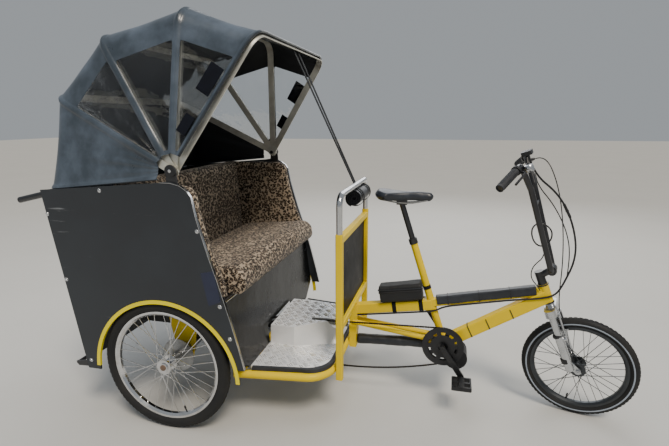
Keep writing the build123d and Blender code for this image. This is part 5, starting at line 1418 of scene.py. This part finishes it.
@dataclass
class Hood:
    """Folding hood: four bays of coated cloth with clear windows, sleeves, hems and pads.

    Sizes are in millimetres.
    """

    shop: Workshop
    hinge: Pair = (112.0, 1198.0)
    half_width: float = 561.0
    cap_side: float = 576.4
    foot: float = 70.0
    corner: float = 80.0
    stand_off: float = 11.5
    cloth: float = 2.0
    border: float = 18.0
    sleeve: float = 15.5
    window_foot: float = 88.0
    window_top: float = 516.0
    window_rows: int = 18
    corner_rows: int = 8
    top_rows: int = 14
    border_columns: int = 4
    middle_columns: int = 14
    ribs: tuple[Rib, ...] = (
        Rib(188.6, 640, -1, 26.0),
        Rib(153.0, 664, 69),
        Rib(122.5, 644, 79),
        Rib(87.0, 632, 81),
        Rib(56.8, 634, 87),
    )
    bodies: tuple[Body, ...] = (Body.VEHICLE, Body.HOOD_1, Body.HOOD_2, Body.HOOD_3, Body.HOOD_4)

    def leg_rows(self) -> list[float]:
        """Radii of the rows on a side, those of the windows' ends among them."""
        rows = [self.foot, 79.0, self.window_foot]
        tall, steps = self.window_top - self.window_foot, self.window_rows
        rows += [self.window_foot + tall * step / steps for step in range(1, steps + 1)]
        return rows + [self.window_top + 5, self.window_top + 10, self.window_top + 22]

    def build(self) -> None:
        """Builds the bays, the hems and the pads."""
        for number in range(1, len(self.ribs)):
            self.bay(number)
        self.hem(0, Body.VEHICLE, 5.0, 10.5)
        self.hem(4, Body.HOOD_4, 5.5, 13.0)
        self.shop.node(BOW_METAL, "hood_bow_1", "hood_bow_2", "hood_bow_3", "hood_bow_4")
        self.shop.node(BLACK_ENAMEL, "hood_hinges")
        self.shop.node(WEBBING, "hood_straps")
        for side in Side:
            self.hinge_cap(side)
            self.pad(side, 330.0, 452.0, 22.0, 84.0, "upper")
            self.pad(side, 150.0, 232.0, 22.0, 66.0, "lower")

    def hinge_cap(self, side: Side) -> None:
        """The black clamp knob and its bright bolt on the outside of one hinge."""
        label = side.name.lower()
        axis = Vector((0, side.value, 0))
        centre = place(self.hinge[0], side.value * self.cap_side, self.hinge[1])
        profile = [(0, 0), (23, 0), (25, 1.2), (25, 5.0), (22, 6.6), (9, 7.0), (0, 7.0)]
        knob = Bench.lathe(f"hinge_knob_{label}", profile, centre, axis, 36)
        self.shop.add(knob, NYLON, Body.VEHICLE, "hinge_steel", 40)
        head = [(0, 0), (7.5, 0), (7.5, 2.2), (5.5, 3.4), (0, 3.6)]
        bolt = Bench.lathe(f"hinge_bolt_{label}", head, centre + axis * 0.007, axis, 6)
        self.shop.add(bolt, BOLT_STEEL, Body.VEHICLE, "hinge_steel", 30)

    def columns(self, span: float) -> list[float]:
        """Shares of the way from one rib to the next, with the sleeves' edges among them."""
        edge = min(0.42, self.border / span)
        first = [edge * step / self.border_columns for step in range(self.border_columns)]
        middle = [edge + (1 - 2 * edge) * step / self.middle_columns for step in range(self.middle_columns + 1)]
        last = [1 - share for share in reversed(first)]
        return first + middle + last

    def height(self, number: int, row: int, share: float, span: float, spot: Vector) -> float:
        """How far the cloth lies off the straight surface between two ribs, in mm.

        Args:
            number: the bay.
            row: the row's index.
            share: the way from the rear rib to the front one.
            span: distance between the ribs on this row, in mm.
            spot: the place in space.

        Returns:
            The height, outwards positive.
        """
        legs = len(self.leg_rows())
        near = min(row, 2 * (legs + self.corner_rows + self.top_rows) - row)
        edge = min(share, 1 - share) * span
        bell = 4 * share * (1 - share)
        sleeve = 5.0 * math.sqrt(max(0.0, 1 - (edge / self.sleeve) ** 2))
        stitched = -0.9 * math.exp(-(((edge - self.border + 1.0) / 2.0) ** 2))
        arm = spot - place(self.hinge[0], 0, self.hinge[1])
        angle, reach = math.atan2(arm.z, arm.x), math.hypot(arm.z, arm.x)
        sway = noise.noise(Vector((spot.x * 5.5, spot.y * 3.0, spot.z * 5.5)))
        if near >= legs:
            band = 1.0 if near > legs else 0.5
            crease = noise.noise(Vector((share * 3.0 + number, spot.y * 9.0, 3.0)))
            return sleeve + stitched + band + bell * (-7.0 + 3.2 * sway + 2.0 * crease)
        if number == 1:
            fan = noise.noise(Vector((angle * 11.0, reach * 1.4, spot.y)))
            fine = noise.noise(Vector((angle * 30.0, reach * 3.0, 5.0 + spot.y)))
            fade = math.exp(-(((reach - 0.24) / 0.26) ** 2))
            slump = noise.noise(Vector((spot.x * 4.0, 1.0, spot.z * 2.4)))
            return sleeve + stitched + bell * (fade * (11.0 * fan + 3.5 * fine) + 9.0 * slump - 5.0)
        ripple = noise.noise(Vector((share * 5.0, reach * 7.0, number + spot.y)))
        return sleeve + stitched + bell * (2.4 * ripple - 1.5)

    def bay(self, number: int) -> None:
        """One bay of cloth with its windows, from one rib to the next."""
        rear = self.ribs[number - 1].line(self.stand_off, self)
        front = self.ribs[number].line(self.stand_off, self)
        rows = len(rear)
        count = 2 * self.border_columns + self.middle_columns + 1
        grid = []
        for low, high in zip(rear, front):
            shares = self.columns((high - low).length * 1000)
            grid.append([low.lerp(high, share) for share in shares])
        Bench.clear()
        bpy.ops.mesh.primitive_grid_add(x_subdivisions=count - 1, y_subdivisions=rows - 1, size=1.0)
        cloth = bpy.context.object
        cloth.name = f"hood_bay_{number}"
        vertices = iter(cloth.data.vertices)
        for row, points in enumerate(grid):
            span = (points[-1] - points[0]).length * 1000
            shares = self.columns(span)
            for column, point in enumerate(points):
                along = grid[min(rows - 1, row + 1)][column] - grid[max(0, row - 1)][column]
                across = points[min(count - 1, column + 1)] - points[max(0, column - 1)]
                normal = across.cross(along).normalized()
                height = self.height(number, row, shares[column], span, point) / 1000
                next(vertices).co = point + normal * height
        panes = self.cut_windows(number, cloth, rows, count) if number > 1 else []
        for pane in panes:
            Bench.modify(pane, "SOLIDIFY", thickness=0.0009, offset=0.0)
            self.shop.add(pane, WINDOW_FILM, None, "window_clear", 40)
            self.bend(pane, number)
        if panes:
            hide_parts(f"hood_window_{number}")
        # The inner faces get the darker copy of the cloth: painted shade under the hood.
        for finish in (HOOD_CLOTH, HOOD_UNDERSIDE_SHADE):
            cloth.data.materials.append(self.shop.finishes.get(finish))
        Bench.modify(cloth, "SUBSURF", levels=1, render_levels=1)
        Bench.modify(cloth, "SOLIDIFY", thickness=self.cloth / 1000, offset=-1.0, material_offset=1)
        self.shop.add(cloth, None, None, "hood_vinyl", 40, [f"hood_cloth_{number}"])
        self.bend(cloth, number)

    def bend(self, piece: Object, number: int) -> None:
        """Puts a piece of a bay's place into its mesh; it rides on no body."""
        rear, front = (self.ribs[index].turn(350, 0, self) for index in (number - 1, number))
        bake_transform(piece)

    def cut_windows(self, number: int, cloth: Object, rows: int, count: int) -> list[Object]:
        """Takes the window faces out of a bay.

        Args:
            number: the bay.
            cloth: its grid, not yet softened.
            rows: how many rows of points it has.
            count: how many points a row has.

        Returns:
            The panes of the right and the left side.
        """
        legs = self.leg_rows()
        low = legs.index(self.window_foot)
        high = len(legs) - 1 if number == 2 else legs.index(self.window_top)
        middle = range(self.border_columns, self.border_columns + self.middle_columns)
        panes = []
        for side in Side:
            Bench.take(cloth)
            bpy.ops.object.mode_set(mode="EDIT")
            bpy.ops.mesh.select_mode(type="FACE")
            bpy.ops.mesh.select_all(action="DESELECT")
            mesh = bmesh.from_edit_mesh(cloth.data)
            mesh.verts.ensure_lookup_table()
            layer = mesh.verts.layers.int.get("place") or mesh.verts.layers.int.new("place")
            if side is Side.RIGHT:
                for vertex in mesh.verts:
                    vertex[layer] = vertex.index
            for face in mesh.faces:
                row, column = (min(part) for part in zip(*(divmod(vertex[layer], count) for vertex in face.verts)))
                if side is Side.LEFT:
                    row = rows - 2 - row
                face.select = low <= row < high and column in middle
            bmesh.update_edit_mesh(cloth.data)
            before = set(bpy.data.objects)
            bpy.ops.mesh.separate(type="SELECTED")
            bpy.ops.object.mode_set(mode="OBJECT")
            pane = (set(bpy.data.objects) - before).pop()
            pane.name = f"hood_pane_{number}_{side.name.lower()}"
            panes.append(pane)
        return panes

    def hem(self, number: int, body: Body, radius: float, grow: float) -> None:
        """A rolled hem of one radius along one rib, some way outside its bow."""
        line = self.ribs[number].line(grow, self)
        tube = Bench.tube(f"hood_hem_{number}", line[::2] + [line[-1]], radius / 1000)
        self.shop.add(tube, HOOD_PIPING, body, "hood_vinyl")

    def pad(self, side: Side, low: float, high: float, near: float, far: float, name: str) -> None:
        """A square of hook-and-loop behind the front bow, on the outside of the window.

        Args:
            side: which side of the hood.
            low: radius of its lower end.
            high: radius of its upper end.
            near: distance of its front edge behind the bow.
            far: distance of its rear edge behind the bow.
            name: word for its name.
        """
        rib = self.ribs[4]
        sine, cosine = math.sin(math.radians(rib.angle)), math.cos(math.radians(rib.angle))
        corners = []
        for radial, behind in ((low, near), (low, far), (high, near), (high, far)):
            out = self.half_width - rib.lean * (radial - 30) / (rib.reach - 40) + self.stand_off + 3.2
            x = self.hinge[0] + radial * cosine - behind * sine
            corners.append(place(x, side.value * out, self.hinge[1] + radial * sine + behind * cosine))
        pad = Bench.quad(f"hood_pad_{name}_{side.name.lower()}", corners)
        Bench.whole(pad, bpy.ops.mesh.subdivide, number_cuts=6)
        Bench.modify(pad, "SOLIDIFY", thickness=0.004, offset=0.0)
        Bench.ease(pad, 0.0016)
        self.shop.add(pad, NAVY_PILE, Body.HOOD_4, "hood_vinyl", 40)


@dataclass
class Seat:
    """Bench seat: cushion, back and side pads in printed velour."""

    shop: Workshop
    voxel: float = 0.007
    shrink: float = 0.004
    pad_growth: Triple = (1.045, 1.0, 1.055)

    def build(self) -> None:
        """Builds the soft forms and colours the deck below them near black, as painted shade under the cushion."""
        self.soft("seat_cushion", "cushion", 0.0045)
        self.soft("seat_back", "backrest", 0.0045)
        self.soft("side_pads", "side_padding", 0.003)
        self.shop.node(DECK_PAINTED_SHADE, "seat_deck")

    def soft(self, node: str, name: str, ripple: float) -> None:
        """One padded piece, blown up a little from its solid and left with shallow hollows.

        Args:
            node: the solid that it stands for.
            name: the piece's name.
            ripple: height of its unevenness, in metres.
        """
        piece = Bench.from_solid(name, self.shop.nodes[node])
        if node == "side_pads":
            self.wrap(piece)
        Bench.modify(piece, "REMESH", mode="VOXEL", voxel_size=self.voxel)
        Bench.modify(piece, "DISPLACE", strength=-self.shrink, mid_level=0.0)
        Bench.modify(piece, "SMOOTH", factor=0.8, iterations=10)
        Cloth().blow(piece)
        Bench.ruffle(piece, lambda spot: ripple * 0.5 * (noise.noise(spot * 4.2) + 0.45 * noise.noise(spot * 11.0)))
        Bench.modify(piece, "SMOOTH", factor=0.5, iterations=3)
        self.shop.add(piece, LEOPARD, Body.VEHICLE, "seat_fabric", 60, [node])

    def wrap(self, pads: Object) -> None:
        """Draws the side pads out to the panels' front and top edges, as the cover wraps them."""
        rear = min(vertex.co.x for vertex in pads.data.vertices)
        foot = min(vertex.co.z for vertex in pads.data.vertices)
        Bench.whole(pads, bpy.ops.transform.resize, value=self.pad_growth, center_override=(rear, 0.0, foot))


@dataclass(frozen=True)
class Cloth:
    """Settings of a short inflation of a closed cover."""

    pressure: float = 3.2
    stiffness: float = 18.0
    last: int = 20
    reach: float = 0.006

    def blow(self, piece: Object) -> None:
        """Inflates a closed mesh for a few frames and keeps the result, no point moved too far."""
        rest = [vertex.co.copy() for vertex in piece.data.vertices]
        Bench.take(piece)
        modifier = piece.modifiers.new("Cloth", "CLOTH")
        settings = modifier.settings
        settings.quality = 4
        settings.mass = 0.3
        settings.tension_stiffness = settings.compression_stiffness = self.stiffness
        settings.bending_stiffness = 0.6
        settings.use_pressure = True
        settings.uniform_pressure_force = self.pressure
        settings.effector_weights.gravity = 0.0
        modifier.collision_settings.use_collision = False
        modifier.point_cache.frame_start = 1
        modifier.point_cache.frame_end = self.last
        for number in range(1, self.last + 1):
            bpy.context.scene.frame_set(number)
        bpy.ops.object.modifier_apply(modifier=modifier.name)
        bpy.context.scene.frame_set(1)
        for vertex, start in zip(piece.data.vertices, rest):
            step = vertex.co - start
            if step.length > self.reach:
                vertex.co = start + step * (self.reach / step.length)


@dataclass
class CabBody:
    """What the cab's sheets carry: bolts, edge strips, a blank patch and the kick panel's strip.

    Sizes are in millimetres.
    """

    shop: Workshop
    outside: float = 585.0
    bolts: tuple[Pair, ...] = (
        (-230, 1108),
        (-515, 994),
        (-458, 694),
        (-378, 304),
        (218, 954),
        (301, 634),
        (339, 492),
    )
    film: tuple[Pair, ...] = ((221, 776), (280, 788), (250, 632), (307, 657))
    front_edge: tuple[Pair, ...] = (
        (60, 1149),
        (110, 1148.5),
        (152, 1138),
        (182, 1118),
        (199, 1092),
        (214, 1010),
        (236, 930),
        (260, 846),
        (288, 762),
        (318, 660),
        (347, 556),
        (373, 455),
        (397, 352),
    )

    def build(self) -> None:
        """Builds the fittings and gives the sheets their finish."""
        for side in Side:
            self.bolt_row(side)
            self.strip(side)
        self.patch()
        self.kick_strip()
        self.shop.node(PANEL_SHEET, "side_panel_left", "side_panel_right", "rear_panel")
        self.shop.node(KICK_SHEET, "kick_panel")
        self.shop.node(YELLOW_TRIM, "arch_trims")
        self.shop.node(BLACK_ENAMEL, "rear_handles", "rear_bar")
        self.shop.node(BATTERY_CASE, "battery_box")
        self.shop.node(ZINC, "rear_axle")
        self.shop.node(YELLOW_PAINT, "rear_chassis")

    def bolt_row(self, side: Side) -> None:
        """The dome heads that hold one side panel, with their washers."""
        profile = [(0, 0), (9, 0), (9, 1.2), (7.2, 1.4), (6.9, 3.0), (5.4, 4.6), (3.0, 5.5), (0, 5.8)]
        start_x, start_z = self.bolts[0]
        spot = place(start_x, side.value * self.outside, start_z)
        first = Bench.lathe(f"panel_bolts_{side.name.lower()}", profile, spot, ACROSS * side.value, 24)
        parts = [first]
        for index, (x, z) in enumerate(self.bolts[1:]):
            shift = Vector(((x - start_x) / 1000, 0, (z - start_z) / 1000))
            parts.append(Bench.copy(first, f"{first.name}.{index}", Matrix.Translation(shift)))
        row = Bench.join(first.name, parts)
        self.shop.add(row, BOLT_STEEL, Body.VEHICLE, "panel_grey", 40)

    def strip(self, side: Side) -> None:
        """The bright strip round the front edge of one side panel, with its black inner lip."""
        label = side.name.lower()
        middle = side.value * (self.outside - 4.5)
        line = [place(x + 1.2, middle, z + 0.6) for x, z in self.front_edge]
        bright = Bench.ribbon(f"edge_strip_{label}", line, 0.0125, 0.0016)
        self.shop.add(bright, POLISHED_TUBE, Body.VEHICLE, "panel_grey", 50)
        inner = [place(x - 1.0, side.value * (self.outside - 13.5), z) for x, z in self.front_edge[2:]]
        lip = Bench.tube(f"edge_lip_{label}", inner, 0.0034)
        self.shop.add(lip, EDGE_STRIP, Body.VEHICLE, "panel_grey", 50)

    def patch(self) -> None:
        """The blank navy film on the right panel."""
        face = -(self.outside + 0.5)
        film = Bench.quad("panel_film", (place(x, face, z) for x, z in self.film))
        Bench.modify(film, "SOLIDIFY", thickness=0.0006, offset=0.0)
        self.shop.add(film, NAVY_FILM, Body.VEHICLE, "panel_grey")

    def kick_strip(self) -> None:
        """The bright angle along the kick panel's top edge."""
        bar = Bench.ease(Bench.box("kick_strip", place(300, -571, 639), place(312, 571, 648.5)), 0.0014)
        self.shop.add(bar, POLISHED_TUBE, Body.VEHICLE, "kick_black", 40)


@dataclass
class Floor:
    """Tread plates of the footwell: raised bars in crossed groups, laid on the solids' own faces."""

    shop: Workshop
    cell: float = 36.0
    bar: Triple = (27.0, 5.0, 2.1)
    bars: int = 4
    cells: int = 22
    along: Pair = (270.0, 735.0)
    half: float = 470.0
    middle: float = 500.0
    reach: float = 0.011

    def build(self) -> None:
        """Lays the bars and dresses the plates."""
        for name in ("floor_plates", "floor_tunnel"):
            self.shop.node(TREAD_PLATE, name)
            self.lay(name)
        self.shop.node(EDGE_STRIP, "floor_edging")
        self.shop.node(YELLOW_PAINT, "floor_frame")

    def pattern_bar(self, name: str) -> Object:
        """One raised bar with drawn-in ends, standing on the origin."""
        length, width, height = (size / 1000 for size in self.bar)
        bar = Bench.box(name, Vector((-length / 2, -width / 2, -0.0004)), Vector((length / 2, width / 2, height)))
        Bench.pick(bar, lambda centre, normal: normal.z > 0.9)
        bpy.ops.transform.resize(value=(0.74, 0.4, 1.0))
        bpy.ops.object.mode_set(mode="OBJECT")
        return bar

    def lay(self, node: str) -> None:
        """Covers the upward faces of one solid with bars.

        Args:
            node: the solid's name.
        """
        solid = self.shop.nodes[node]
        source = self.pattern_bar(f"tread_{node}")
        parts = []
        for spot, way in self.spots():
            hits = [solid.ray_cast(spot + way * share, -UPWARD) for share in (-1.25, 0, 1.25)]
            if not all(hit[0] and hit[2].z > 0.7 for hit in hits):
                continue
            if max((hits[0][2] - hit[2]).length for hit in hits) > 0.02 or self.covered(node, hits[1][1]):
                continue
            normal = hits[1][2]
            side = normal.cross(way).normalized()
            matrix = Matrix((side.cross(normal), side, normal)).transposed().to_4x4()
            matrix.translation = hits[1][1]
            parts.append(Bench.copy(source, f"{source.name}.{len(parts)}", matrix))
        Bench.drop(source)
        if parts:
            bars = Bench.join(f"tread_{node}", parts)
            self.shop.add(bars, TREAD_BARS, Body.VEHICLE, "chequer_plate", 40)

    def spots(self) -> Iterator[tuple[Vector, Vector]]:
        """Places above the floor where a bar may lie, each with half of the bar's reach as a direction."""
        turn = math.radians(45)
        span = range(-self.cells, self.cells + 1)
        for i, j, k in product(span, span, range(self.bars)):
            step = (k - (self.bars - 1) / 2) * self.cell / self.bars
            level = (i + j) % 2 == 0
            u = i * self.cell + (0 if level else step)
            v = j * self.cell + (step if level else 0)
            x = self.middle + u * math.cos(turn) - v * math.sin(turn)
            y = u * math.sin(turn) + v * math.cos(turn)
            if self.along[0] < x < self.along[1] and abs(y) < self.half:
                heading = turn + (0 if level else math.pi / 2)
                yield place(x, y, 450), Vector((math.cos(heading), math.sin(heading), 0)) * self.reach

    def covered(self, node: str, spot: Vector) -> bool:
        """Whether the tunnel stands over this place of the floor."""
        if node == "floor_tunnel":
            return False
        over = self.shop.nodes["floor_tunnel"].ray_cast(spot + UPWARD * 0.3, -UPWARD)
        return bool(over[0]) and over[1].z > spot.z


@dataclass
class Bulkhead:
    """The post frame in front of the passengers: panel, rail and the rolled apron with its straps."""

    shop: Workshop
    steps: int = 84
    turns: float = 3.6

    def build(self) -> None:
        """Builds the roll and dresses the frame."""
        self.shop.node(YELLOW_PAINT, "bulkhead_frame")
        self.shop.node(BULKHEAD_SHEET, "bulkhead_panel")
        self.shop.node(POLISHED_TUBE, "grab_rail")
        self.roll()

    def roll(self) -> None:
        """A sheet of vinyl rolled up, its turns showing at the ends."""
        low, high = (Vector(corner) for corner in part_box("apron_roll"))
        centre = (low + high) / 2
        outer = min(high.x - low.x, high.z - low.z) / 2 - 0.001
        points = []
        for step in range(self.steps + 1):
            share = step / self.steps
            radius = outer * (0.16 + 0.84 * share) + 0.0006 * math.sin(share * 40)
            angle = math.tau * self.turns * share + 0.6
            points.append(centre + Vector((math.cos(angle), 0.0, math.sin(angle))) * radius)
        width = (high.y - low.y) * 0.995
        roll = Bench.ribbon("apron", points, width, 0.0022)
        self.shop.add(roll, ROLL_VINYL, Body.VEHICLE, "roll_black", 50, ["apron_roll"])
        ring = [(outer * 1000 + r, h) for r, h in ((0.4, -12), (2.6, -12), (2.6, 12), (0.4, 12))]
        for index, share in enumerate((0.18, 0.82)):
            spot = Vector((centre.x, low.y + (high.y - low.y) * share, centre.z))
            strap = Bench.lathe(f"apron_strap_{index}", ring, spot, ACROSS)
            self.shop.add(strap, WEBBING, Body.VEHICLE, "strap_webbing", 40)


@dataclass
class Rider:
    """The rider's frame: paint, wrapped pads, bag and saddle."""

    shop: Workshop
    tube_way: Triple = (0.98037, 0.0, 0.19721)
    pad_reach: float = 38.0
    pad_end: float = 30.0
    pad_swell: float = 7.0
    uneven: float = 0.0016
    bag_shift: Triple = (0.018, 0.0, 0.0027)
    rail: Route = (
        (885, 26, 1022),
        (935, 24, 1010),
        (985, 21, 1004),
        (1045, 19, 1005),
        (1110, 10, 1020),
    )

    def build(self) -> None:
        """Builds the soft parts and dresses the tubes."""
        self.shop.node(YELLOW_PAINT, "main_frame")
        self.shop.node(BLACK_ENAMEL, "seat_post")
        self.wrap("top_tube_pad", "pad_top", PAD_VINYL, "pad_black", 0.0035, 6, 0.7)
        self.wrap("lower_tube_pad", "pad_lower", PAD_VINYL, "pad_black", 0.0035, 6, 0.7)
        self.wrap("frame_bag", "bag", BAG_CLOTH, "bag_black", 0.004, 8, 0.8)
        self.saddle()
        self.ties()

    def saddle(self) -> None:
        """The saddle: domed across, its nose lower, over two bent rails."""
        low, high = (Vector(corner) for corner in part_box("saddle"))
        piece = Bench.from_solid("saddle_cover", self.shop.nodes["saddle"])
        Bench.modify(piece, "REMESH", mode="VOXEL", voxel_size=0.0032)
        Bench.modify(piece, "SMOOTH", factor=0.7, iterations=8)
        for vertex in piece.data.vertices:
            along = (vertex.co.x - low.x) / (high.x - low.x)
            up = (vertex.co.z - low.z) / (high.z - low.z)
            half = (0.088 if along < 0.4 else 0.088 - 0.066 * min(1.0, (along - 0.4) / 0.42)) + 0.004
            out = min(1.0, abs(vertex.co.y) / half)
            vertex.co.z -= up * 0.012 * out * out + 0.006 * max(0.0, along - 0.7) / 0.3
            vertex.co.z += 0.006 * math.exp(-(((along - 0.1) / 0.14) ** 2)) * up
            vertex.co.z -= 0.004 * math.exp(-(((along - 0.5) / 0.2) ** 2)) * up
            vertex.co.y *= 0.90 + 0.10 * up
        self.shop.add(piece, SADDLE_SKIN, Body.VEHICLE, "saddle_black", 60, ["saddle"])
        for side in Side:
            line = [place(x, side.value * y, z) for x, y, z in self.rail]
            rail = Bench.tube(f"saddle_rail_{side.name.lower()}", line, 0.0035)
            self.shop.add(rail, ZINC, Body.VEHICLE, "seat_post_black", 60)

    def ties(self) -> None:
        """Cable ties and straps, each a band round what it holds."""
        bags = (("strap_bag_rear", 964, 470), ("strap_bag_front", 1097, 490))
        down = (("tie_down_1", 1345, 362), ("tie_down_2", 1430, 402), ("tie_down_3", 1540, 455))
        pad = (("tie_pad_1", 1225, 535), ("tie_pad_2", 1370, 565), ("tie_pad_3", 1510, 592))
        lower = (("tie_low_1", 850, 296), ("tie_low_2", 960, 286), ("tie_low_3", 1070, 276))
        groups = (
            # what they go round, direction, width, thickness, reach, and each one's name, x and z
            ("main_frame", (1, 0, 0.152), 20, 1.4, 52, bags),
            ("main_frame", (-0.309, 0, 0.951), 18, 1.6, 30, (("strap_seat_tube", 1121.5, 585),)),
            ("main_frame", (0.9, 0, 0.44), 5, 1.2, 56, down),
            ("top_tube_pad", (0.98, 0, 0.197), 4, 1.2, 60, pad),
            ("lower_tube_pad", (1, 0, -0.1), 4, 1.2, 50, lower),
        )
        for node, way, *sizes, spots in groups:
            for name, x, z in spots:
                metres = (size / 1000 for size in sizes)
                tie = Bench.band(name, self.shop.nodes[node], place(x, 0, z), Vector(way), *metres)
                webbing = name.startswith("strap")
                finish, slot = (WEBBING, "strap_webbing") if webbing else (NYLON, "pad_black")
                self.shop.add(tie, finish, Body.VEHICLE, slot)
        low, high = (Vector(corner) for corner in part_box("frame_bag"))
        rows = (("bag_piping", 0.70, 0.005, 0.0030, PAD_VINYL), ("bag_zip", 0.60, 0.007, 0.0018, NYLON))
        for name, share, width, thickness, finish in rows:
            point = Vector(((low.x + high.x) / 2, 0, low.z + (high.z - low.z) * share))
            bag = self.shop.nodes["frame_bag"]
            trim = Bench.band(name, bag, point, Vector((-0.15, 0, 1)), width, thickness, 0.3)
            Bench.whole(trim, bpy.ops.transform.translate, value=self.bag_shift)
            self.shop.add(Bench.ease(trim, 0.0008), finish, Body.VEHICLE, "bag_black", 60)

    def wrap(self, node: str, name: str, finish: Finish, slot: str, voxel: float, rounds: int, fill: float) -> None:
        """A soft form made from its solid: rounded, uneven and closed.

        Args:
            node: the solid that it stands for.
            name: the piece's name.
            finish: its material.
            slot: its material slot.
            voxel: size of the new mesh's cells, in metres.
            rounds: rounds of smoothing.
            fill: how full it is, from 0 to 1; not used.
        """
        piece = Bench.from_solid(name, self.shop.nodes[node])
        if node == "top_tube_pad":
            self.lengthen(piece)
        if node == "frame_bag":
            Bench.whole(piece, bpy.ops.transform.translate, value=self.bag_shift)
        Bench.modify(piece, "REMESH", mode="VOXEL", voxel_size=voxel)
        if node == "lower_tube_pad":
            Bench.modify(piece, "DISPLACE", strength=self.pad_swell / 1000, mid_level=0.0)
        Bench.modify(piece, "SMOOTH", factor=0.7, iterations=rounds)
        uneven = self.uneven
        Bench.ruffle(
            piece, lambda spot: uneven * (noise.noise(spot * 16.0) + 0.5 * noise.noise(spot * 41.0)) - uneven / 4
        )
        self.shop.add(piece, finish, Body.VEHICLE, slot, 60, [node])

    def lengthen(self, pad: Object) -> None:
        """Draws the top tube's pad forward along its tube, up to the head tube."""
        front = max(vertex.co.x for vertex in pad.data.vertices)
        Bench.take(pad)
        bpy.ops.object.mode_set(mode="EDIT")
        bpy.ops.mesh.select_mode(type="VERT")
        mesh = bmesh.from_edit_mesh(pad.data)
        for vertex in mesh.verts:
            vertex.select_set(vertex.co.x > front - self.pad_end / 1000)
        mesh.select_flush_mode()
        bmesh.update_edit_mesh(pad.data)
        bpy.ops.transform.translate(value=[step * self.pad_reach / 1000 for step in self.tube_way])
        bpy.ops.object.mode_set(mode="OBJECT")


def main() -> None:
    """Builds the whole scene."""
    logging.basicConfig(level=logging.INFO, format="%(relativeCreated)7.0f ms %(name)s %(message)s")
    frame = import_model()
    Studio().camera()
    shop = Workshop(frame["nodes"])
    for assembly in (Cables, Wheels, Hood, Seat, CabBody, Floor, Bulkhead, Rider, Drive, Front):
        assembly(shop).build()
    Studio().floor()
    Studio().lights()
    LOG.info("%d pieces", len(shop.made))


if __name__ == "__main__":
    main()
